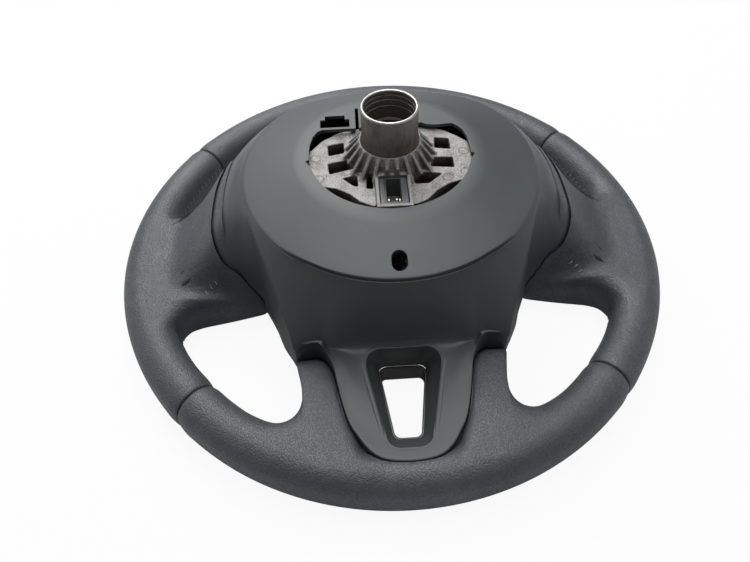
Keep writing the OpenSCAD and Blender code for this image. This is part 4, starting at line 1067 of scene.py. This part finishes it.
    def build(self, material: bpy.types.Material) -> None:
        """Builds and dresses the cover."""
        half = spread(self.sections(), lambda a, b: abs(a[0] - b[0]), 1.2)
        for s in half:
            if s[0] < self.tongue_angle:
                s[13] = self.reach(s[0])
                s[15] = s[13] + 0.1
        stations = half + [[180 - s[0]] + list(s[1:]) for s in half[-2:0:-1]]
        rows = []
        for s in stations + [stations[0]]:
            x, y = wrap(s[0])
            rows.append([(r * x, r * y, z) for r, z in self.profile(s, 7)])
        piece = Workshop.sheet("back_cover_shell", rows)
        surface = Workshop.face_up(piece, 0.1)
        parting = [[(spoke.value * x, y) for x, y in self.shape.parting()] for spoke in Spoke]
        Workshop.roll_over(piece, parting, self.edge_reach, self.edge_depth)
        Workshop.modify(piece, "SOLIDIFY", thickness=self.wall * MM, offset=-1, use_rim=True)
        top, low = (self.recess_top_w, self.slot_top[1] + 0.5), (self.slot_low[0] + 5, self.slot_low[1] + 12)
        cutters = self.window() + [self.shape.beyond(s, 0, True) for s in Spoke]
        cutters.append(Workshop.prism("recess_cutter", self.trapezoid(top, low, 8), 15, 60))
        Workshop.cut(piece, cutters)
        Workshop.shade(piece, 30)
        funnel = Workshop.sheet("cover_recess", self.recess(surface))
        Workshop.face_up(funnel)
        Workshop.modify(funnel, "SOLIDIFY", thickness=self.recess_wall * MM, offset=-1, use_rim=True)
        Workshop.shade(funnel, 40)
        Workshop.dress(piece, material, "wheel", "cover_plastic", ["back_cover"])
        Workshop.dress(funnel, material, "wheel", "cover_plastic")


@dataclass
class HubCasting:
    """The die-cast spider: soft-edged hub in view, plain arms where the cover hides them."""

    node: str = "armature"
    grain: float = 0.55
    half_w: float = 60.5
    span: Plan = (-50, 40)
    heights: Plan = (84.5, 130)

    def build(self, material: bpy.types.Material) -> None:
        """Splits a copy of the node, rounds the hub's edges and dresses both."""
        hub = Workshop.copy_of(self.node, "hub_casting")
        arms = Workshop.copy_of(self.node, "hub_arms")
        w, (near, far) = self.half_w, self.span
        box = [(-w, near), (w, near), (w, far), (-w, far)]
        Workshop.cut(hub, [Workshop.prism("hub_box", box, *self.heights)], "INTERSECT")
        Workshop.cut(arms, [Workshop.prism("arm_box", box, *self.heights)])
        Workshop.modify(hub, "REMESH", mode="VOXEL", voxel_size=self.grain * MM)
        Workshop.modify(hub, "SMOOTH", factor=0.5, iterations=2)
        Workshop.take(hub)
        bpy.ops.object.shade_smooth()
        Workshop.shade(arms, 30)
        Workshop.dress(hub, material, "wheel", "cast_metal", [self.node])
        Workshop.dress(arms, material, "wheel", "cast_metal", [self.node])


@dataclass
class HubSleeve:
    """The turned sleeve: bright mouth, ringed socket and the column's splined hole."""

    radius: float = 17.0
    socket_r: float = 15.2
    top: float = 139.7
    floor: float = 119.7
    base: float = 81.0
    grooves: tuple[float, ...] = (136.6, 133.4, 129.2)
    teeth: int = 30
    tooth_r: float = 8.45

    def line(self) -> list[Plan]:
        """The section's outline in radius and height."""
        r, q, z, floor = self.radius, self.socket_r, self.top, self.floor
        line = [(13.3, self.base), (r - 1, self.base), (r, self.base + 1), (r + 1, self.base + 1.5), (r + 1, 116),
                (r + 0.6, 117.6), (r, 120), (r, z - 1.1), (r - 0.12, z - 0.5), (r - 0.45, z - 0.12), (r - 0.8, z),
                (q + 0.75, z), (q + 0.35, z - 0.15), (q + 0.08, z - 0.5), (q, z - 1.0)]
        for g in self.grooves:
            line += [(q, g + 0.5), (q + 0.35, g + 0.25), (q + 0.35, g - 0.25), (q, g - 0.5)]
        line += [(q, floor + 0.4), (q - 0.3, floor + 0.1), (q - 0.6, floor), (13.8, floor), (13.5, floor - 0.3),
                 (13.5, 116.1), (13.1, 115.7), (11.5, 115.7), (11.1, 115.4), (10.1, 110.9), (9.4, 110.6), (9.4, 85),
                 (13.3, 85)]
        return line

    def spline_ring(self) -> bpy.types.Object:
        """The ring of teeth inside the sleeve."""
        rise = (0.0, 0.35, 0.7, 0.7, 0.7, 0.35, 0.0, 0.0)
        count = self.teeth * len(rise)

        def ring(radius: Callable[[int], float], z: float) -> list[Point]:
            """One closed ring of points."""
            turn = [wrap(360 * i / count) for i in range(count + 1)]
            return [(radius(i % count) * x, radius(i % count) * y, z) for i, (x, y) in enumerate(turn)]

        def tooth(i: int) -> float:
            """Radius of the toothed wall."""
            return self.tooth_r + rise[i % len(rise)]
        rows = [ring(lambda i: 9.38, 85.2), ring(lambda i: 9.38, 110.5), ring(lambda i: tooth(i) + 0.1, 110.5),
                ring(tooth, 110.2), ring(tooth, 85.2), ring(lambda i: 9.38, 85.2)]
        piece = Workshop.sheet("sleeve_spline", rows)
        Workshop.outward(piece)
        return piece

    def build(self, material: bpy.types.Material) -> None:
        """Builds and dresses the sleeve and its teeth."""
        piece = Workshop.lathe("hub_sleeve_turned", self.line())
        Workshop.shade(piece, 35)
        Workshop.dress(piece, material, "wheel", "sleeve_steel", ["hub_sleeve"])
        ring = self.spline_ring()
        Workshop.shade(ring, 30)
        Workshop.dress(ring, material, "wheel", "sleeve_steel", ["hub_sleeve"])


@dataclass
class HubConnector:
    """The plug's socket in the cast frame and its contact pins."""

    pins: tuple[Point, ...] = ((-3.3, -40.0, 102.4), (1.3, -40.3, 102.8), (3.2, -40.0, 102.0))
    low: float = 90.0
    width: float = 0.95
    depth: float = 1.3
    bent_tip: Plan = (0.6, 0.5)
    shell_edge: float = 0.7
    pin_edge: float = 0.15

    def build(self, housing: bpy.types.Material, contact: bpy.types.Material) -> None:
        """Softens the housing's edges and bends the pins' tips."""
        piece = Workshop.copy_of("connector_housing", "connector_shell")
        Workshop.soften(piece, self.shell_edge)
        Workshop.shade(piece, 35)
        Workshop.dress(piece, housing, "wheel", "connector_plastic", ["connector_housing"])
        made = []
        for x, y, top in self.pins:
            Workshop.clear()
            w = self.width * MM
            bpy.ops.mesh.primitive_cube_add(size=1, location=(x * MM, y * MM, (self.low + top) / 2 * MM),
                                            scale=(w, w * self.depth, (top - self.low) * MM))
            pin = bpy.context.object
            bpy.ops.object.transform_apply(location=True, rotation=True, scale=True)
            bpy.ops.object.mode_set(mode="EDIT")
            mesh = bmesh.from_edit_mesh(pin.data)
            mesh.faces.ensure_lookup_table()
            for face in mesh.faces:
                face.select_set(face.normal.z > 0.5)
            bmesh.update_edit_mesh(pin.data)
            tip = (0, self.bent_tip[0] * MM, self.bent_tip[1] * MM)
            bpy.ops.mesh.extrude_region_move(TRANSFORM_OT_translate={"value": tip})
            bpy.ops.object.mode_set(mode="OBJECT")
            Workshop.soften(pin, self.pin_edge, 2)
            made.append(pin)
        blades = Workshop.join(made, "contact_blades")
        Workshop.shade(blades, 35)
        Workshop.dress(blades, contact, "wheel", "contact_metal", ["connector_pins"])


@dataclass
class FrontFace:
    """The driver's side: horn pad, bezel, lower trim, switch pods and keys."""

    soft_edge: float = 0.5
    key_edge: float = 0.7
    ridge: Point = (8.5, 0.8, 0.7)
    ridge_pitch: float = 2.1
    ridge_taper: float = 2.0
    ridge_edge: float = 0.28

    def softened(self, node: str, made: dict[str, bpy.types.Material], slot: str, body: str = "wheel") -> None:
        """Adds a copy of a node with rounded edges."""
        piece = Workshop.copy_of(node, f"{node}_soft")
        Workshop.soften(piece, self.key_edge if slot == "key_plastic" else self.soft_edge)
        Workshop.shade(piece, 35)
        Workshop.dress(piece, made[slot], body, slot, [node])

    def build(self, made: dict[str, bpy.types.Material]) -> None:
        """Builds and dresses every piece of the driver's side."""
        self.softened("horn_pad", made, "pad_plastic", "horn_module")
        self.softened("front_bezel", made, "bezel_plastic")
        self.softened("lower_spoke_trim", made, "trim_plastic")
        for side in ("left", "right"):
            self.softened(f"{side}_switch_base", made, "switch_plastic")
            for row in ("upper", "lower"):
                node = f"{side}_{row}_key"
                self.softened(node, made, "key_plastic", node)
                self.ridges(node, made["key_plastic"])

    def ridges(self, node: str, material: bpy.types.Material) -> None:
        """Three low ridges that the thumb finds on a key."""
        low, high = (Vector(c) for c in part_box(node))
        made = []
        for step in (-1, 0, 1):
            Workshop.clear()
            place = ((low.x + high.x) / 2, (low.y + high.y) / 2 + step * self.ridge_pitch * MM, low.z)
            long, wide, tall = self.ridge
            size = ((long - abs(step) * self.ridge_taper) * MM, wide * MM, tall * MM)
            bpy.ops.mesh.primitive_cube_add(size=1, location=place, scale=size)
            ridge = bpy.context.object
            bpy.ops.object.transform_apply(location=True, rotation=True, scale=True)
            Workshop.soften(ridge, self.ridge_edge, 2)
            made.append(ridge)
        row = Workshop.join(made, f"{node}_ridges")
        Workshop.shade(row, 35)
        Workshop.dress(row, material, node, "key_plastic")


@dataclass
class Stitching:
    """Cross stitches that close the leather along the rim's inner side and over the spoke roots."""

    shape: RimShape
    pitch: float = 4.5
    length: float = 3.7
    thick: float = 0.62
    rim_r: float = 156.6

    def rim(self, start: int, end: int, z: float) -> list[Point]:
        """Points along the rim's inner side between two angles."""
        way = 1 if end > start else -1
        return [(self.rim_r * wrap(a)[0], self.rim_r * wrap(a)[1], z) for a in range(start, end, 2 * way)]

    def lines(self) -> dict[str, list[Point]]:
        """The right side's seams."""
        wing = [(116, -42, 38.5), (120, -44, 36), (125, -46, 31), (134, -43, 17.5), (140, -44, 10), (145, -46, 7),
                (144, -51, 8), (143, -59, 9)] + self.rim(-25, -43, 9)
        hollow = [(149, 4, 32), (151, 8, 30), (152.5, 13, 27), (153, 20, 24)] + self.rim(10, 35, 22)
        tab = [(63.8, -98.5, 21), (61.6, -106, 20), (59.2, -116, 19), (60, -126.5, 18), (66, -133.8, 17),
               (75, -136.5, 15)] + self.rim(-59, -44, 12)
        return {"wing": wing, "hollow": hollow, "tab": tab, "crown": self.rim(36, 91, 20)}

    def outward(self, at: Vector) -> Vector:
        """A rough direction out of the leather at a place."""
        radius = math.hypot(at.x, at.y)
        if radius > 0.1535 or at.z < 0.0285 and at.x > 0.05 and at.y < -0.09:
            middle = Vector((at.x, at.y, 0)).normalized() * self.shape.centre_r * MM
            return (at - middle - Vector((0, 0, self.shape.grip_h / 2 * MM))).normalized()
        return Vector((0, -0.8 if at.y < 0 else 0.5, 0.6)).normalized()

    def sew(self, name: str, line: Sequence[Point], skin: BVHTree, material: bpy.types.Material) -> None:
        """Lays one row of stitches on the leather.

        Args:
            name: the piece's name.
            line: points near the leather, in millimetres.
            skin: the leather.
            material: the thread.
        """
        points = [Vector(p) * MM for p in line]
        mesh = bmesh.new()
        carry, count = 0.0, 0
        for a, b in zip(points, points[1:]):
            run = b - a
            at = carry
            while at < run.length:
                place = a + run.normalized() * at
                out = self.outward(Vector((abs(place.x), place.y, place.z)))
                out.x *= 1 if place.x > 0 else -1
                spot, normal, _, away = skin.find_nearest(place + out * 0.0015)
                if spot is not None and normal.dot(out) > 0.1 and away < 0.008:
                    self.stitch(mesh, spot, normal, run.normalized())
                    count += 1
                at += self.pitch * MM
            carry = at - run.length
        data = bpy.data.meshes.new(name)
        mesh.to_mesh(data)
        mesh.free()
        piece = Workshop.placed(name, data)
        Workshop.outward(piece)
        Workshop.shade(piece, 60)
        Workshop.dress(piece, material, "wheel", "leather")
        log.info("%s: %d stitches", name, count)

    def stitch(self, mesh: bmesh.types.BMesh, spot: Vector, normal: Vector, along: Vector) -> None:
        """Adds one thread that lies across the seam, its ends sunk in."""
        across = normal.cross(along).normalized()
        along = across.cross(normal).normalized()
        rings = []
        for k in range(7):
            share = k / 3 - 1
            middle = spot + across * share * self.length / 2 * MM + along * share * 0.0005
            middle += normal * self.thick * MM * (0.28 - 0.75 * share ** 4)
            size = self.thick / 2 * MM * (1 - 0.35 * share ** 4)
            rings.append([mesh.verts.new(middle + (along * wrap(a)[0] + normal * wrap(a)[1]) * size)
                          for a in range(0, 360, 60)])
        for first, second in zip(rings, rings[1:]):
            for i in range(6):
                mesh.faces.new((first[i], first[(i + 1) % 6], second[(i + 1) % 6], second[i]))
        mesh.faces.new(rings[0][::-1])
        mesh.faces.new(rings[-1])

    def build(self, panels: Sequence[bpy.types.Object], pale: bpy.types.Material, dark: bpy.types.Material) -> None:
        """Sews every seam on both sides."""
        mesh = bmesh.new()
        for panel in panels:
            mesh.from_mesh(panel.data)
        skin = BVHTree.FromBMesh(mesh)
        mesh.free()
        for key, line in self.lines().items():
            for spoke in Spoke:
                mirrored = [(spoke.value * x, y, z) for x, y, z in line]
                self.sew(f"stitches_{key}_{spoke.name.lower()}", mirrored, skin, dark if key == "tab" else pale)


@dataclass
class Studio:
    """Camera, lamps and floor."""

    eye: Point = (-20.206, -302.688, 358.769)
    yaw: float = -2.798
    pitch: float = 48.679
    roll: float = 1.135
    focal_px: float = 632.18
    centre_px: Plan = (382.94, 249.73)
    size_px: tuple[int, int] = (750, 562)
    lamps: tuple[tuple[str, Point, Point, float, float], ...] = (
        ("window", (-0.35, 1.25, 1.25), (0, 0.05, 0.03), 1.1, 26), ("sky", (0.05, 0.35, 1.9), (0, 0.05, 0.03), 1.3, 30),
        ("side", (1.35, -0.25, 0.8), (0, 0, 0.05), 0.8, 3.0), ("left", (-1.35, 0.2, 0.7), (0, 0, 0.05), 0.8, 3.0))
    ambient: Point = (0.93, 0.96, 1.0)
    ambient_strength: float = 0.17
    floor_size: float = 6.0
    floor_tone: float = 0.6
    floor_white: float = 0.93

    def camera(self) -> None:
        """Sets the camera at the photograph's viewpoint."""
        cy, sy = wrap(self.yaw)
        cp, sp = wrap(self.pitch)
        cr, sr = wrap(self.roll)
        turn = Matrix(((cy, -sy, 0), (sy, cy, 0), (0, 0, 1)))
        right = turn @ Vector((1, 0, 0))
        up = turn @ Vector((0, sp, cp))
        ahead = turn @ Vector((0, cp, -sp))
        across = right * cr - up * sr
        rise = right * sr + up * cr
        data = bpy.data.cameras.new("camera")
        data.sensor_width = 36
        data.lens = self.focal_px * 36 / self.size_px[0]
        data.shift_x = (self.size_px[0] / 2 - self.centre_px[0]) / self.size_px[0]
        data.shift_y = (self.centre_px[1] - self.size_px[1] / 2) / self.size_px[0]
        data.clip_start = 0.01
        seat = Workshop.placed("camera", data)
        matrix = Matrix((across, rise, -ahead)).transposed().to_4x4()
        matrix.translation = Vector(self.eye) * MM
        seat.matrix_world = matrix
        bpy.context.scene.camera = seat

    @staticmethod
    def lamp(name: str, place: Point, aim: Point, size: float, power: float) -> None:
        """A soft square lamp."""
        data = bpy.data.lights.new(name, "AREA")
        data.size = size
        data.energy = power
        lamp = Workshop.placed(name, data)
        lamp.location = place
        lamp.rotation_euler = (Vector(aim) - Vector(place)).to_track_quat("-Z", "Y").to_euler()

    def light(self) -> None:
        """Soft light from above and behind, and a white surround."""
        for name, place, aim, size, power in self.lamps:
            self.lamp(name, place, aim, size, power)
        world = bpy.data.worlds.new("studio")
        world.use_nodes = True
        tree = world.node_tree
        tree.nodes.clear()
        out = tree.nodes.new("ShaderNodeOutputWorld")
        mixer = tree.nodes.new("ShaderNodeMixShader")
        dim, white = (tree.nodes.new("ShaderNodeBackground") for _ in range(2))
        path = tree.nodes.new("ShaderNodeLightPath")
        dim.inputs["Color"].default_value = (*self.ambient, 1)
        dim.inputs["Strength"].default_value = self.ambient_strength
        white.inputs["Strength"].default_value = 1.0
        tree.links.new(path.outputs["Is Camera Ray"], mixer.inputs[0])
        tree.links.new(dim.outputs[0], mixer.inputs[1])
        tree.links.new(white.outputs[0], mixer.inputs[2])
        tree.links.new(mixer.outputs[0], out.inputs["Surface"])
        bpy.context.scene.world = world
        bpy.context.scene.view_settings.view_transform = "Standard"

    def floor(self) -> None:
        """A plain floor that the camera sees near white, with the wheel's shadow."""
        Workshop.clear()
        bpy.ops.mesh.primitive_plane_add(size=self.floor_size, location=(0, 0, -0.0005))
        piece = bpy.context.object
        piece.name = "floor"
        g = Graph("floor")
        base = g.surface((self.floor_tone,) * 3, 0.9)
        shader = next(n for n in base.node_tree.nodes if n.type == "BSDF_PRINCIPLED")
        output = next(n for n in base.node_tree.nodes if n.type == "OUTPUT_MATERIAL")
        glow = g.node("ShaderNodeEmission", {}, {"Color": (1, 1, 1, 1), "Strength": 1.0})
        path = base.node_tree.nodes.new("ShaderNodeLightPath")
        share = Value(g, path.outputs["Is Camera Ray"]) * self.floor_white
        both = g.node("ShaderNodeMixShader", {}, {0: share, 1: Value(g, shader.outputs[0]), 2: glow})
        base.node_tree.links.new(both.socket, output.inputs["Surface"])
        piece.data.materials.append(base)


@dataclass
class Wheel:
    """The whole steering wheel."""

    shape: RimShape = field(default_factory=RimShape)

    def finishes(self) -> dict[str, bpy.types.Material]:
        """One material for each of the record's slots."""
        makers = {
            "leather": Leather(), "cast_metal": CastMetal(), "sleeve_steel": TurnedSteel(),
            "cover_plastic": Moulded("cover_plastic", (0.040, 0.044, 0.045), 0.50),
            "bezel_plastic": Moulded("bezel_plastic", (0.038, 0.040, 0.043), 0.55),
            "pad_plastic": Moulded("pad_plastic", (0.033, 0.035, 0.038), 0.60, 1.6),
            "switch_plastic": Moulded("switch_plastic", (0.028, 0.029, 0.031), 0.42),
            "key_plastic": Moulded("key_plastic", (0.045, 0.047, 0.050), 0.62, 0.8),
            "connector_plastic": Moulded("connector_plastic", (0.075, 0.078, 0.080), 0.38, 0.6, 0.1),
            "trim_plastic": Moulded("trim_plastic", (0.045, 0.042, 0.038), 0.35, 0.4, 0.1),
            "ring_steel": PlainMetal("ring_steel", (0.4, 0.4, 0.42)),
            "screw_steel": PlainMetal("screw_steel", (0.45, 0.45, 0.46), 0.35),
            # Contact pins lightened from gold towards white: a painted highlight for light on pins that sit in the
            # socket's shade.
            "contact_metal": PlainMetal("contact_metal", (0.86, 0.78, 0.62), 0.22, 0.8),
            "spring_steel": PlainMetal("spring_steel", (0.32, 0.32, 0.33), 0.3),
            "tray_steel": PlainMetal("tray_steel", (0.10, 0.10, 0.11), 0.5, 0.3),
            "generator_steel": PlainMetal("generator_steel", (0.6, 0.6, 0.6), 0.35),
            "cushion_fabric": Woven("cushion_fabric", (0.72, 0.71, 0.67)),
            "foam": Woven("foam", (0.020, 0.020, 0.020), 0.0015)}
        return {slot: maker.material() for slot, maker in makers.items()}

    def build(self) -> None:
        """Builds every piece and dresses every node that stays."""
        made = self.finishes()
        slots = {row["node"]: row["material_slot"] for row in frame["record"]["subparts"]}
        for node, piece in frame["nodes"].items():
            piece.data.materials.clear()
            piece.data.materials.append(made[slots[node]])
        panels = LeatherRim(self.shape).panels(made["leather"])
        Stitching(self.shape).build(panels, Thread("pale_thread", (0.20, 0.20, 0.19)).material(),
                                    Thread("dark_thread", (0.035, 0.036, 0.038)).material())
        BackCover(self.shape).build(made["cover_plastic"])
        HubCasting().build(made["cast_metal"])
        HubSleeve().build(made["sleeve_steel"])
        HubConnector().build(made["connector_plastic"], made["contact_metal"])
        FrontFace().build(made)


def main() -> None:
    """Builds the scene."""
    logging.basicConfig(level=logging.INFO, format="%(name)s: %(message)s")
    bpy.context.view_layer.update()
    studio = Studio()
    studio.camera()
    Wheel().build()
    studio.light()
    studio.floor()


if __name__ == "__main__":
    main()
